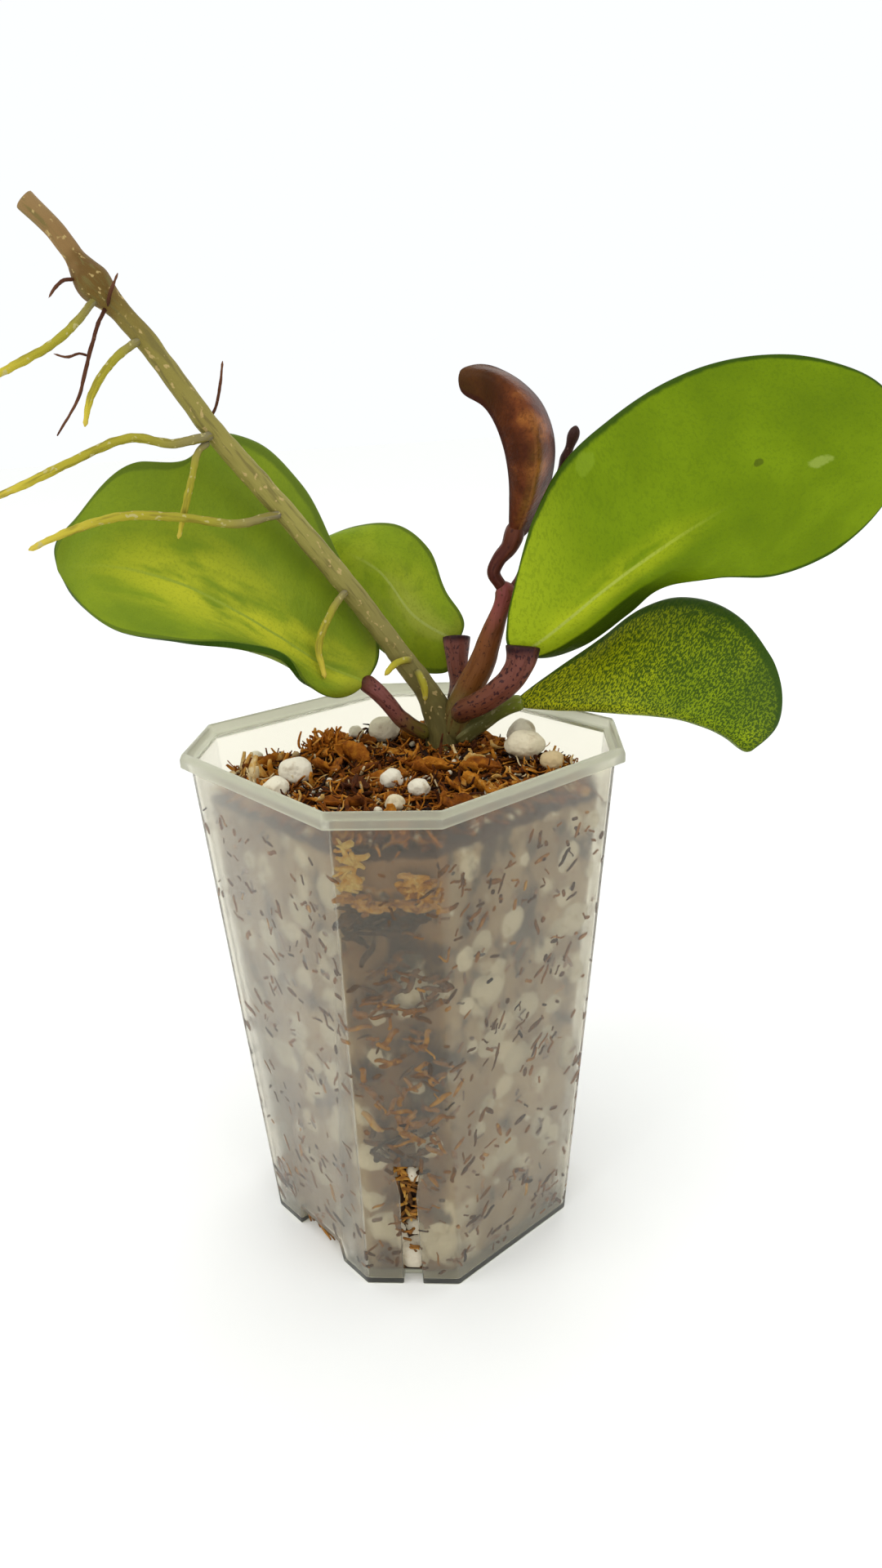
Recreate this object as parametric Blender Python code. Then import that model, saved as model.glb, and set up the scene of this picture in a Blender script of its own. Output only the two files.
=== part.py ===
"""A potted hoya: a clear square nursery pot, its husk and perlite mix, and one rooted cutting.

The pot stands on z = 0 with its flat walls along X and Y. The plant is laid out in millimetres in
its own frame, with the pot's axis as its Z axis, and turned by PLANT_TURN with respect to the pot.
At the end everything is moved so that the origin is the bottom centre of the whole object's box.
"""
import math

import bmesh
import bpy
import numpy as np
from mathutils import Matrix, Vector, noise

MM = 0.001
GAP = 0.3                      # air left between two pieces that touch, mm

# Pot, mm: half widths are across the flats, and a leg is a cut corner's side along a flat.
POT_HEIGHT = 115.0
BASE_HALF, BASE_LEG = 31.2, 14.2
NECK_HALF, NECK_LEG = 37.8, 13.9
RIM_HALF, RIM_LEG = 39.75, 15.0
RIM_DROP = 3.25                # from the top edge to the underside of the rim
RIM_LIP = 1.95                 # the upright part of the rim
RIM_CROWN_IN = 0.45            # how far the sloped top of the rim leans in
LEDGE_DROP = 2.0               # from the top edge to the ledge inside
WALL = 0.8
FLOOR = 1.2
CHANNEL_HALF = 8.2             # the drain channel across the base, along Y
CHANNEL_HEIGHT = 5.0
CHANNEL_TAPER = 1.2
SLOT_HEIGHT = 33.5
SLOT_HALF_BASE, SLOT_HALF_NECK, SLOT_HALF_TOP = 2.1, 1.7, 2.9
SLOT_NECK_Z = 25.0
SLOT_DEPTH = 3.0               # how far the slot reaches in across the floor

# Mix, mm
MIX_TOP = 105.0
MIX_LUMP = 0.8
MIX_LUMP_PITCH = 11.0
CROWN_POCKET_RADIUS = 4.0
CROWN_POCKET_FLOOR = 93.0

# Plant, mm
PLANT_TURN = 50.7              # degrees, from the plant's frame to the pot's
BLADE = 1.6                    # thickness of a leaf
YOUNG_BLADE = 1.2
LEAF_COLUMNS, LEAF_ROWS = 14, 8
TUBE_STEP = 3.0                # spacing of rings along a stem

# Each stem: a name, its material, and its points as x, y, z, radius.
STEMS = [
    ("main_stem", "stem", [
        (9.2, 21.6, 94.0, 2.9), (9.0, 21.5, 105.5, 3.4), (6.5, 21.0, 117.5, 2.9),
        (0.5, 20.0, 127.0, 2.6), (-11.5, 18.0, 145.0, 2.5), (-26.5, 15.5, 165.0, 2.4),
        (-36.5, 14.0, 178.0, 2.3), (-42.0, 13.0, 186.5, 2.2), (-47.0, 12.0, 194.5, 2.2),
        (-52.5, 11.2, 201.5, 2.4), (-55.5, 10.5, 205.0, 3.2), (-58.0, 10.2, 209.0, 2.0),
        (-61.0, 10.0, 214.0, 1.7), (-66.0, 9.0, 220.0, 1.8)]),
    ("new_shoot", "shoot", [
        (12.6, 18.8, 111.2, 1.2), (13.6, 18.9, 114.5, 2.2), (14.8, 18.8, 118.5, 3.0),
        (18.0, 18.0, 125.0, 3.0), (20.8, 17.5, 133.0, 2.4), (23.0, 17.5, 138.5, 1.6),
        (23.8, 17.5, 140.6, 1.7)]),
    ("vine_tip", "shoot", [
        (26.6, 20.2, 143.4, 0.8), (29.5, 23.0, 148.5, 0.8), (33.5, 25.0, 158.5, 0.9),
        (37.5, 25.0, 167.0, 1.0), (40.0, 24.0, 175.0, 1.3)]),
    ("petiole_left", "petiole", [
        (3.0, 18.9, 110.6, 1.9), (-0.3, 17.0, 113.6, 1.9), (-4.0, 15.0, 119.0, 1.9),
        (-6.6, 14.2, 122.0, 2.0)]),
    ("petiole_back", "petiole", [
        (13.8, 25.8, 118.5, 2.4), (13.5, 27.5, 122.5, 2.4), (13.8, 29.0, 124.8, 2.4)]),
    ("petiole_right", "petiole", [
        (13.8, 12.8, 116.3, 2.4), (17.0, 10.6, 118.2, 2.5), (21.0, 9.0, 121.8, 2.5),
        (24.7, 8.5, 127.0, 2.5)]),
    ("petiole_low", "petiole", [
        (15.4, 17.6, 110.4, 1.8), (19.0, 16.8, 112.8, 1.8), (23.8, 15.0, 116.0, 1.8)]),
    ("petiole_young", "shoot", [
        (22.6, 17.5, 143.2, 1.2), (21.2, 17.5, 145.6, 1.3), (22.3, 17.0, 148.6, 1.3),
        (24.8, 16.2, 151.4, 1.4)]),
    ("aerial_root_1", "root", [
        (-56.5, 8.2, 200.3, 0.7), (-59.0, 7.0, 197.5, 0.8), (-63.5, 5.5, 194.0, 0.8),
        (-70.0, 3.0, 190.5, 0.8), (-75.5, 0.0, 187.5, 0.6)]),
    ("aerial_root_2", "root", [
        (-38.0, 10.2, 176.0, 0.9), (-43.5, 8.0, 175.2, 0.9), (-49.5, 5.0, 176.6, 0.9),
        (-62.0, 0.0, 172.5, 0.8), (-70.0, -3.0, 169.0, 0.8), (-76.5, -5.0, 166.5, 0.6)]),
    ("aerial_root_3", "root", [
        (-25.8, 12.4, 160.0, 0.9), (-31.5, 10.0, 159.0, 0.9), (-42.0, 6.0, 161.0, 0.9),
        (-54.0, 2.0, 162.0, 0.9), (-63.0, -2.0, 160.0, 0.8), (-70.5, -5.0, 157.0, 0.6)]),
    ("aerial_root_4", "root", [
        (-49.6, 8.8, 193.4, 0.8), (-53.5, 7.0, 190.0, 0.8), (-57.5, 5.0, 184.0, 0.7),
        (-59.0, 4.0, 179.0, 0.5)]),
    ("aerial_root_5", "twig", [
        (-54.5, 7.8, 198.0, 0.6), (-57.0, 6.0, 191.5, 0.6), (-59.6, 5.0, 184.5, 0.5),
        (-64.5, 4.0, 177.5, 0.3)]),
    ("aerial_root_6", "root", [
        (-38.8, 10.0, 173.4, 0.7), (-40.0, 9.0, 169.5, 0.7), (-42.0, 8.0, 163.4, 0.7),
        (-44.5, 9.0, 156.5, 0.5)]),
    ("aerial_root_7", "root", [
        (-12.6, 13.6, 142.0, 0.8), (-15.0, 12.0, 138.5, 0.8), (-17.4, 10.6, 133.0, 0.8),
        (-16.4, 8.4, 126.0, 0.6)]),
    ("aerial_root_8", "root", [
        (1.2, 15.8, 127.6, 0.8), (-1.4, 14.4, 126.9, 0.8), (-3.6, 12.8, 125.0, 0.6)]),
    ("aerial_root_9", "root", [
        (4.0, 16.4, 124.0, 0.8), (5.0, 15.6, 121.6, 0.9), (5.2, 15.8, 118.0, 0.7)]),
    ("dry_twig_1", "twig", [
        (-60.0, 7.6, 205.2, 0.6), (-61.6, 7.0, 204.0, 0.5), (-63.0, 6.0, 202.0, 0.3)]),
    ("dry_twig_2", "twig", [
        (-51.8, 7.2, 202.4, 0.6), (-49.6, 6.4, 206.0, 0.3)]),
    ("dry_twig_3", "twig", [
        (-35.5, 16.6, 181.5, 0.5), (-34.0, 16.4, 186.0, 0.5), (-33.0, 16.0, 190.5, 0.3)]),
    ("dry_twig_4", "twig", [
        (-58.2, 5.0, 192.2, 0.4), (-60.6, 4.0, 191.6, 0.4), (-62.6, 2.8, 192.2, 0.3)]),
]

# Each leaf: its midrib and its two edges, all running from the stalk to the tip.
LEAVES = [
    ("leaf_left", BLADE, 0.5,
     [(-8, 14, 123), (-15, 12.5, 126.5), (-27, 10, 135.5), (-45.5, 7, 147.5),
      (-61.5, 5.5, 152), (-69, 6, 151.5)],
     [(-8, 14, 123), (-5.2, 17.5, 126.5), (-5, 25, 132.5), (-12.5, 27, 148), (-20.5, 30, 165.5),
      (-29.5, 30, 174.5), (-38, 28, 176.5), (-43.5, 22, 171.5), (-54.5, 17, 171),
      (-64.5, 11, 162), (-69.5, 7, 155.5), (-69, 6, 151.5)],
     [(-8, 14, 123), (-13, 12, 121), (-20.5, 6, 125.5), (-24.5, 3, 132.5), (-33.5, 1, 135.5),
      (-44.5, 0, 137), (-58.5, 0, 140.5), (-66, 3, 147), (-69, 6, 151.5)]),
    ("leaf_back", BLADE, 0.6,
     [(14, 30.5, 128), (4.5, 34, 133.5), (-5, 38, 145), (-13.5, 40, 149), (-22, 41, 149)],
     [(14, 30.5, 128), (11, 33, 133), (8, 37, 140.5), (7, 41, 148.5), (1.5, 43, 153.5),
      (-8.5, 44, 153.5), (-17, 43, 151), (-22, 41, 149)],
     [(14, 30.5, 128), (11.5, 33, 120.5), (5.5, 36, 120), (-6, 41, 126), (-15, 44, 140),
      (-21, 43, 146), (-22, 41, 149)]),
    ("leaf_right", BLADE, 0.4,
     [(26, 8.5, 129.5), (35, 7, 136.5), (47.5, 5, 146.5), (61, 3, 155.5), (77.5, 1, 164.5),
      (92, -1, 169), (102, -2, 170.5)],
     [(26, 8.5, 129.5), (24.2, 10, 131.5), (25.2, 11.5, 143.5), (29.5, 12.5, 157.5),
      (35, 12.5, 168), (45, 11.5, 177), (55.5, 10, 183.5), (65.5, 8, 187), (75.5, 5.5, 188),
      (85.5, 3, 186.5), (96, 0, 181.5), (102, -2, 170.5)],
     [(26, 8.5, 129.5), (31, 12, 128), (41, 17, 129.5), (50.5, 17, 136), (57, 10, 143),
      (67, 5, 145), (78, 3, 145), (88, 1, 149), (98, -1, 159), (102, -2, 170.5)]),
    ("leaf_low", BLADE, 0.3,
     [(25, 14.5, 117), (36, 11, 116.5), (45, 7, 117), (54, 3, 117), (63, -1, 116),
      (69, -4, 113.5), (73, -6, 110)],
     [(25, 14.5, 117), (35, 17, 123.5), (46.5, 19.5, 130), (55.5, 21, 136), (62.5, 21, 138),
      (69, 19, 137.5), (75, 15, 134.5), (79.5, 9, 128.5), (81.5, 3, 121), (79.5, -2, 114),
      (73, -6, 110)],
     [(25, 14.5, 117), (37, 22, 118), (48.5, 28, 119), (59.5, 29, 119.5), (68, 24, 117),
      (71.5, 11, 112), (72.5, 1, 109.5), (73, -6, 110)]),
    ("leaf_young", YOUNG_BLADE, 0.6,
     [(25.5, 16, 152.5), (28.5, 11, 163.5), (29, 9, 172.5), (26.5, 10, 180.5), (21, 13, 186),
      (15, 17, 187)],
     [(25.5, 16, 152.5), (25, 15, 156.5), (25, 14, 163.5), (23.5, 14, 172.5),
      (20, 15, 180), (15, 16.5, 183.5), (15, 17, 187)],
     [(25.5, 16, 152.5), (28.5, 17, 154.5), (33.5, 19, 164), (34.5, 20, 172.5), (31.5, 20, 180.5),
      (25, 19, 186), (19.5, 18, 188), (15, 17, 187)]),
]

# Loose pieces on the mix: a name, its material, its place x, y, and its sizes along x, y, z.
LOOSE = [
    ("perlite_1", "perlite", (-23.4, -1.1), (7.3, 6.6, 6.0)),
    ("perlite_2", "perlite", (-26.8, -9.4), (5.6, 6.0, 4.6)),
    ("perlite_3", "perlite", (-4.6, 25.6), (7.6, 6.2, 6.4)),
    ("perlite_4", "perlite", (-3.0, -7.4), (5.0, 4.6, 4.6)),
    ("perlite_5", "perlite", (2.6, -12.4), (4.8, 4.2, 4.0)),
    ("perlite_6", "perlite", (26.6, 7.2), (9.2, 7.8, 7.0)),
    ("perlite_7", "perlite", (27.0, 17.4), (6.8, 6.0, 6.6)),
    ("perlite_8", "perlite", (31.6, -0.6), (5.4, 5.0, 4.4)),
    ("perlite_9", "perlite", (-33.6, 14.0), (3.4, 3.2, 3.0)),
    ("perlite_10", "perlite", (-11.4, 28.6), (3.8, 3.6, 3.4)),
    ("perlite_11", "perlite", (-2.4, -20.6), (4.2, 4.0, 3.4)),
    ("moss_clump", "husk", (-17.2, 15.6), (9.0, 7.0, 6.4)),
    ("husk_chip_1", "husk", (17.0, 0.4), (9.0, 6.0, 4.4)),
    ("husk_chip_2", "husk", (6.6, 2.0), (8.4, 5.0, 4.0)),
    ("husk_chip_3", "husk", (-13.4, -15.0), (8.0, 5.4, 2.6)),
    ("husk_chip_4", "husk", (-33.6, 6.6), (4.6, 5.0, 4.8)),
]

FINISHES = {
    "pot": ("clear_polypropylene", (0.80, 0.80, 0.81, 0.5), 0.35),
    "mix": ("potting_mix", (0.36, 0.27, 0.20, 1.0), 0.95),
    "perlite": ("perlite", (0.80, 0.77, 0.70, 1.0), 0.9),
    "husk": ("orange_husk", (0.35, 0.13, 0.03, 1.0), 0.9),
    "stem": ("old_stem", (0.30, 0.27, 0.13, 1.0), 0.7),
    "shoot": ("brown_shoot", (0.16, 0.06, 0.03, 1.0), 0.45),
    "petiole": ("petiole_skin", (0.17, 0.08, 0.08, 1.0), 0.5),
    "root": ("aerial_root_skin", (0.45, 0.33, 0.07, 1.0), 0.8),
    "twig": ("dry_twig", (0.15, 0.06, 0.03, 1.0), 0.85),
    "leaf": ("green_leaf", (0.20, 0.36, 0.03, 1.0), 0.4),
    "young_leaf": ("red_young_leaf", (0.15, 0.05, 0.03, 1.0), 0.4),
}


def finish(key):
    """The Principled material of one kind of piece, made once."""
    name, colour, roughness = FINISHES[key]
    material = bpy.data.materials.get(name)
    if material is None:
        material = bpy.data.materials.new(name)
        material.use_nodes = True
        shader = material.node_tree.nodes["Principled BSDF"]
        shader.inputs["Base Color"].default_value = colour[:3] + (1.0,)
        shader.inputs["Alpha"].default_value = colour[3]
        shader.inputs["Roughness"].default_value = roughness
        shader.inputs["Metallic"].default_value = 0.0
    return material


def add_object(name, data, key, parent):
    piece = bpy.data.objects.new(name, data)
    data.materials.append(finish(key))
    bpy.context.scene.collection.objects.link(piece)
    piece.parent = parent
    return piece


def mesh_from(bm, name):
    """The finished mesh of a bmesh, with its faces pointing out."""
    mesh = bpy.data.meshes.new(name)
    bmesh.ops.recalc_face_normals(bm, faces=bm.faces)
    if bm.calc_volume(signed=True) < 0:
        bmesh.ops.reverse_faces(bm, faces=bm.faces)
    bm.to_mesh(mesh)
    bm.free()
    return mesh


# ---- shapes shared by the pot and the mix ----

def around(place):
    return math.atan2(place.y, place.x)


def octagon(half, leg, z):
    """Eight places in order around Z: a square of the given half width, its corners cut off."""
    flat = half - leg
    corners = []
    for quarter in range(4):
        turn = Matrix.Rotation(math.radians(90 * quarter), 4, "Z")
        corners += [turn @ Vector((half, -flat, z)) * MM, turn @ Vector((half, flat, z)) * MM]
    return sorted(corners, key=around)


def stacked_rings(rings):
    """A closed body through octagonal rings, each given as half width, leg and height."""
    bm = bmesh.new()
    start = bm.faces.new([bm.verts.new(place) for place in octagon(*rings[0])])
    end = start
    for ring in rings[1:]:
        swept = bmesh.ops.extrude_face_region(bm, geom=[end])
        if end is not start:
            bm.faces.remove(end)
        end = next(item for item in swept["geom"] if isinstance(item, bmesh.types.BMFace))
        for vert, place in zip(sorted(end.verts, key=lambda v: around(v.co)), octagon(*ring)):
            vert.co = place
    return bm


def prism(outline, start, end):
    """A closed body swept along Y between two places, from an outline of x, z points."""
    bm = bmesh.new()
    face = bm.faces.new([bm.verts.new(Vector((x, start, z)) * MM) for x, z in outline])
    swept = bmesh.ops.extrude_face_region(bm, geom=[face])
    moved = [item for item in swept["geom"] if isinstance(item, bmesh.types.BMVert)]
    bmesh.ops.translate(bm, verts=moved, vec=Vector((0, end - start, 0)) * MM)
    return bm


def channel_body(grow):
    """The drain channel's section, with sloping sides, grown by a wall or a gap."""
    half = CHANNEL_HALF + grow
    top = CHANNEL_HEIGHT + grow
    reach = BASE_HALF + 10
    outline = [(-half, -5), (half, -5), (half, 0), (half - CHANNEL_TAPER, top),
               (CHANNEL_TAPER - half, top), (-half, 0)]
    return prism(outline, -reach, reach)


def slot_body(angle):
    """One corner's slot: open at the base, narrowing upwards, and flared at its top."""
    half_left = [(SLOT_HALF_BASE, -5), (SLOT_HALF_BASE, 0), (SLOT_HALF_NECK, SLOT_NECK_Z),
                 (SLOT_HALF_TOP, SLOT_HEIGHT)]
    outline = half_left + [(-x, z) for x, z in reversed(half_left)]
    face_distance = math.sqrt(0.5) * (2 * BASE_HALF - BASE_LEG)
    bm = prism(outline, face_distance - SLOT_DEPTH, face_distance + 12)
    turn = Matrix.Rotation(math.radians(angle), 4, "Z")
    bmesh.ops.transform(bm, matrix=turn, verts=bm.verts)
    return bm


def cut(piece, bm, name):
    """Subtract a body from a piece and drop the cutter."""
    cutter = bpy.data.objects.new(name, mesh_from(bm, name))
    bpy.context.scene.collection.objects.link(cutter)
    boolean = piece.modifiers.new(name, "BOOLEAN")
    boolean.operation = "DIFFERENCE"
    boolean.solver = "EXACT"
    boolean.object = cutter
    bpy.context.view_layer.update()
    shape = piece.evaluated_get(bpy.context.evaluated_depsgraph_get())
    result = bpy.data.meshes.new_from_object(shape)
    piece.modifiers.clear()
    piece.data = result
    bpy.data.objects.remove(cutter)


def wall_size(z, inset):
    """Half width and leg of the wall at a height, measured inwards from its outer face."""
    share = z / (POT_HEIGHT - RIM_DROP)
    half = BASE_HALF + (NECK_HALF - BASE_HALF) * share - inset
    leg = BASE_LEG + (NECK_LEG - BASE_LEG) * share - inset * (2 - math.sqrt(2))
    return half, leg


# ---- pot ----

def make_pot(parent):
    top = POT_HEIGHT
    crown = RIM_HALF - RIM_CROWN_IN
    body = stacked_rings([
        (BASE_HALF, BASE_LEG, 0),
        (NECK_HALF, NECK_LEG, top - RIM_DROP),
        (RIM_HALF, RIM_LEG, top - RIM_DROP),
        (RIM_HALF, RIM_LEG, top - RIM_DROP + RIM_LIP),
        (crown, RIM_LEG, top),
    ])
    pot = add_object("pot", mesh_from(body, "pot"), "pot", parent)
    ledge = top - LEDGE_DROP
    neck = wall_size(ledge, WALL)
    inner_crown = crown - WALL
    cavity = stacked_rings([
        (*wall_size(FLOOR, WALL), FLOOR),
        (*neck, ledge),
        (inner_crown - 0.1, RIM_LEG - 0.5, ledge),
        (inner_crown, RIM_LEG - 0.5, top + 5),
    ])
    hollow = bpy.data.objects.new("hollow", mesh_from(cavity, "hollow"))
    bpy.context.scene.collection.objects.link(hollow)
    cut(hollow, channel_body(WALL), "ridge")
    inside = bmesh.new()
    inside.from_mesh(hollow.data)
    bpy.data.objects.remove(hollow)
    cut(pot, inside, "inside")
    cut(pot, channel_body(0), "channel")
    for corner in range(4):
        cut(pot, slot_body(45 + 90 * corner), "slot")
    return pot


# ---- potting mix and what lies on it ----

def mix_height(x, y):
    """Height of the mix's lumpy top at a place in the pot's frame, mm."""
    place = Vector((x, y, 0)) / MIX_LUMP_PITCH
    return MIX_TOP + MIX_LUMP * noise.noise(place)


def make_mix(parent):
    inset = WALL + GAP
    floor = FLOOR + GAP
    shoulder = MIX_TOP - 2.5
    body = stacked_rings([
        (*wall_size(floor, inset), floor),
        (*wall_size(shoulder, inset), shoulder),
        (*wall_size(MIX_TOP, inset + 1.5), MIX_TOP),
    ])
    top_face = max(body.faces, key=lambda face: face.calc_center_median().z)
    for depth in (6, 7, 8):
        bmesh.ops.inset_region(body, faces=[top_face], thickness=depth * MM, use_even_offset=True)
    bmesh.ops.triangulate(body, faces=[top_face])
    wide = [edge for edge in body.edges
            if min(vert.co.z for vert in edge.verts) > (MIX_TOP - 0.5) * MM]
    bmesh.ops.subdivide_edges(body, edges=wide, cuts=1, use_grid_fill=True)
    for vert in body.verts:
        if vert.co.z > (MIX_TOP - 0.5) * MM:
            vert.co.z = mix_height(vert.co.x / MM, vert.co.y / MM) * MM
    bmesh.ops.triangulate(body, faces=body.faces)
    mix = add_object("potting_mix", mesh_from(body, "potting_mix"), "mix", parent)
    cut(mix, channel_body(WALL + GAP), "ridge")
    pocket = bmesh.new()
    crown = Matrix.Rotation(math.radians(PLANT_TURN), 4, "Z") @ Vector(STEMS[0][2][0][:3])
    middle = Vector((crown.x, crown.y, CROWN_POCKET_FLOOR + 10)) * MM
    bmesh.ops.create_cone(pocket, cap_ends=True, segments=16, depth=20 * MM,
                          radius1=CROWN_POCKET_RADIUS * MM, radius2=CROWN_POCKET_RADIUS * MM,
                          matrix=Matrix.Translation(middle))
    cut(mix, pocket, "pocket")
    return mix


def make_loose_piece(entry, seed, parent):
    """A grain or chip on the mix: a ball of faces pushed in and out, then stretched to size."""
    name, key, (x, y), sizes = entry
    bm = bmesh.new()
    bmesh.ops.create_icosphere(bm, subdivisions=1, radius=0.5)
    for vert in bm.verts:
        push = noise.noise(vert.co * 3.0 + Vector((seed * 7.3, 0, 0)))
        vert.co *= 1.0 + 0.16 * push
    turn = Matrix.Rotation(math.radians(PLANT_TURN), 4, "Z")
    spot = turn @ Vector((x, y, 0))
    lift = mix_height(spot.x, spot.y) + 0.5 * sizes[2] + 2 * GAP
    place = Matrix.Translation(Vector((spot.x, spot.y, lift)) * MM)
    stretch = Matrix.Diagonal([size * MM for size in sizes]).to_4x4()
    bmesh.ops.transform(bm, matrix=place @ turn @ stretch, verts=bm.verts)
    piece = add_object(name, mesh_from(bm, name), key, parent)
    piece.data.shade_smooth()
    return piece


# ---- plant ----

def curve_through(points):
    """A smooth curve through points: a function of t, 0 at the first point and 1 at the last."""
    knots_at = np.array(points, dtype=float)
    steps = np.linalg.norm(np.diff(knots_at[:, :3], axis=0), axis=1)
    knots = np.concatenate([[0.0], np.cumsum(steps)]) / steps.sum()
    slopes = np.gradient(knots_at, knots, axis=0)

    def at(t):
        index = int(np.clip(np.searchsorted(knots, t, side="right") - 1, 0, len(knots) - 2))
        span = knots[index + 1] - knots[index]
        u = (t - knots[index]) / span
        return ((1 + 2 * u) * (1 - u) ** 2 * knots_at[index]
                + u * (1 - u) ** 2 * span * slopes[index]
                + u * u * (3 - 2 * u) * knots_at[index + 1]
                + u * u * (u - 1) * span * slopes[index + 1])

    return at


def plant_to_pot(point):
    """A point of the plant's frame in mm, as a place in the pot's frame in metres."""
    return Matrix.Rotation(math.radians(PLANT_TURN), 4, "Z") @ Vector(point[:3]) * MM


def make_stem(entry, parent):
    """A round stem of changing thickness along a smooth curve, with flat ends."""
    name, key, points = entry
    path = curve_through(points)
    length = sum((Vector(b[:3]) - Vector(a[:3])).length for a, b in zip(points, points[1:]))
    count = max(5, round(length / TUBE_STEP) + 1)
    data = bpy.data.curves.new(name, "CURVE")
    data.dimensions = "3D"
    data.bevel_depth = MM
    data.bevel_resolution = 2
    data.use_fill_caps = True
    line = data.splines.new("POLY")
    line.points.add(count - 1)
    for index, point in enumerate(line.points):
        sample = path(index / (count - 1))
        point.co = (*plant_to_pot(sample), 1.0)
        point.radius = sample[3]
    return add_object(name, data, key, parent)


def make_leaf(entry, parent):
    """A blade between a midrib and two edges, from a square grid rounded to a disc."""
    name, thickness, crease, midrib_points, upper_points, lower_points = entry
    midrib = curve_through(midrib_points)
    upper = curve_through(upper_points)
    lower = curve_through(lower_points)
    bm = bmesh.new()
    bmesh.ops.create_grid(bm, x_segments=LEAF_COLUMNS, y_segments=LEAF_ROWS, size=1.0)
    for vert in bm.verts:
        a, b = vert.co.x, vert.co.y
        along = a * math.sqrt(1 - b * b / 2)
        across = b * math.sqrt(1 - a * a / 2)
        angle = math.acos(max(-1.0, min(1.0, -along)))
        reach = math.sqrt(max(0.0, 1 - along * along))
        side = across / reach if reach > 1e-6 else 0.0
        side = max(-1.0, min(1.0, side))
        centre = midrib((1 - math.cos(angle)) / 2)
        first = upper(angle / math.pi)
        second = lower(angle / math.pi)
        fold = (math.sqrt(side * side + crease * crease) - crease)
        fold /= math.sqrt(1 + crease * crease) - crease
        point = centre + side * (first - second) / 2 + fold * ((first + second) / 2 - centre)
        vert.co = plant_to_pot(point)
    piece = add_object(name, mesh_from(bm, name), "young_leaf" if "young" in name else "leaf",
                       parent)
    solidify = piece.modifiers.new("thickness", "SOLIDIFY")
    solidify.thickness = thickness * MM
    solidify.offset = 0.0
    solidify.use_even_offset = False
    piece.data.shade_smooth()
    return piece


def stand_on_origin(parent):
    """Move the whole object so that its box's bottom centre is the origin."""
    bpy.context.view_layer.update()
    depsgraph = bpy.context.evaluated_depsgraph_get()
    corners = []
    for piece in parent.children:
        shape = piece.evaluated_get(depsgraph)
        mesh = shape.to_mesh()
        corners += [shape.matrix_world @ vert.co for vert in mesh.vertices]
        shape.to_mesh_clear()
    low = Vector([min(corner[axis] for corner in corners) for axis in range(3)])
    high = Vector([max(corner[axis] for corner in corners) for axis in range(3)])
    parent.location = Vector((-(low.x + high.x) / 2, -(low.y + high.y) / 2, -low.z))


def main():
    for old in list(bpy.data.objects):
        bpy.data.objects.remove(old)
    hoya = bpy.data.objects.new("potted_hoya", None)
    bpy.context.scene.collection.objects.link(hoya)
    make_pot(hoya)
    make_mix(hoya)
    for seed, entry in enumerate(LOOSE):
        make_loose_piece(entry, seed, hoya)
    for entry in STEMS:
        make_stem(entry, hoya)
    for entry in LEAVES:
        make_leaf(entry, hoya)
    stand_on_origin(hoya)


main()
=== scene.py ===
"""A potted hoya: a clear square nursery pot, its husk and perlite mix, and one rooted cutting.

The plant is laid out in millimetres in its own frame, with the pot's axis as its Z axis, and turned
by PLANT_TURN with respect to the pot. The stalks and blades follow the CAD
part's lines, and the stalks run on into what carries them.
"""
import math
import random

import bmesh
import bpy
import numpy as np
from mathutils import Euler, Matrix, Vector, noise


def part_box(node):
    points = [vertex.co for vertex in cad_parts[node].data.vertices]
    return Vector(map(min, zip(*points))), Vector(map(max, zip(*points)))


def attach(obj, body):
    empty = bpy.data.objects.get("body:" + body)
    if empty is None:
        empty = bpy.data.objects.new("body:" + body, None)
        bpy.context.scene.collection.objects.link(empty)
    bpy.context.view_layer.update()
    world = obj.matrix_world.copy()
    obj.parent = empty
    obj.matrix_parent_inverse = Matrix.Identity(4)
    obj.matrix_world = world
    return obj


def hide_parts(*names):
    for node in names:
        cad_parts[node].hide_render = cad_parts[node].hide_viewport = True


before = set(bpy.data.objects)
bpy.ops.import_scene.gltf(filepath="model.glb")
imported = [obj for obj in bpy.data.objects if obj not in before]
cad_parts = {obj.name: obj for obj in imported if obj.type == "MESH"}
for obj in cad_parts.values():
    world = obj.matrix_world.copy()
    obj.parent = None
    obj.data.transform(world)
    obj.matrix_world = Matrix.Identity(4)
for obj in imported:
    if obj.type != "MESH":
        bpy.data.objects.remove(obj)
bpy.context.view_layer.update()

bl_info = {
    "name": "Potted Hoya",
    "version": (1, 0, 0),
    "blender": (4, 5, 0),
    "location": "3D View > Sidebar > Hoya",
    "description": "Builds a potted hoya cutting in a clear nursery pot",
    "category": "Add Mesh",
}

MM = 0.001
BODY = "root"

# Pot, mm: half widths are across the flats, and a leg is a cut corner's side along a flat.
POT_LOW, POT_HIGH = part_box("pot")
POT_AXIS = Vector(((POT_LOW.x + POT_HIGH.x) / 2, (POT_LOW.y + POT_HIGH.y) / 2, 0))
POT_HEIGHT = POT_HIGH.z / MM
BASE_HALF, BASE_LEG = 31.2, 14.2
NECK_HALF, NECK_LEG = 37.8, 13.9
NECK_HEIGHT = POT_HEIGHT - 3.25
MIX_TOP = 105.0
MIX_LUMP, MIX_LUMP_PITCH = 0.8, 11.0
MIX_INSET = 3.0                # from the wall's outer face to the mix's loose side
MIX_FLOOR = 1.6                # flat, so it doesn't follow the pot's drain channel
SIDE_STEP = 2.6                # height of a ring of faces on the mix's sides
RIM_DEPTH = 3.4                # the milky rim reaches this far down
FOOT_HEIGHT = 2.2              # the milky foot reaches this far up
LOOSE_GAP = 0.6                # air under a loose piece on the mix
FLECK_INSETS = (0.74, 0.76, 0.78, 1.5)   # wall shreds' depths: most sink into the wall's inside
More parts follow.
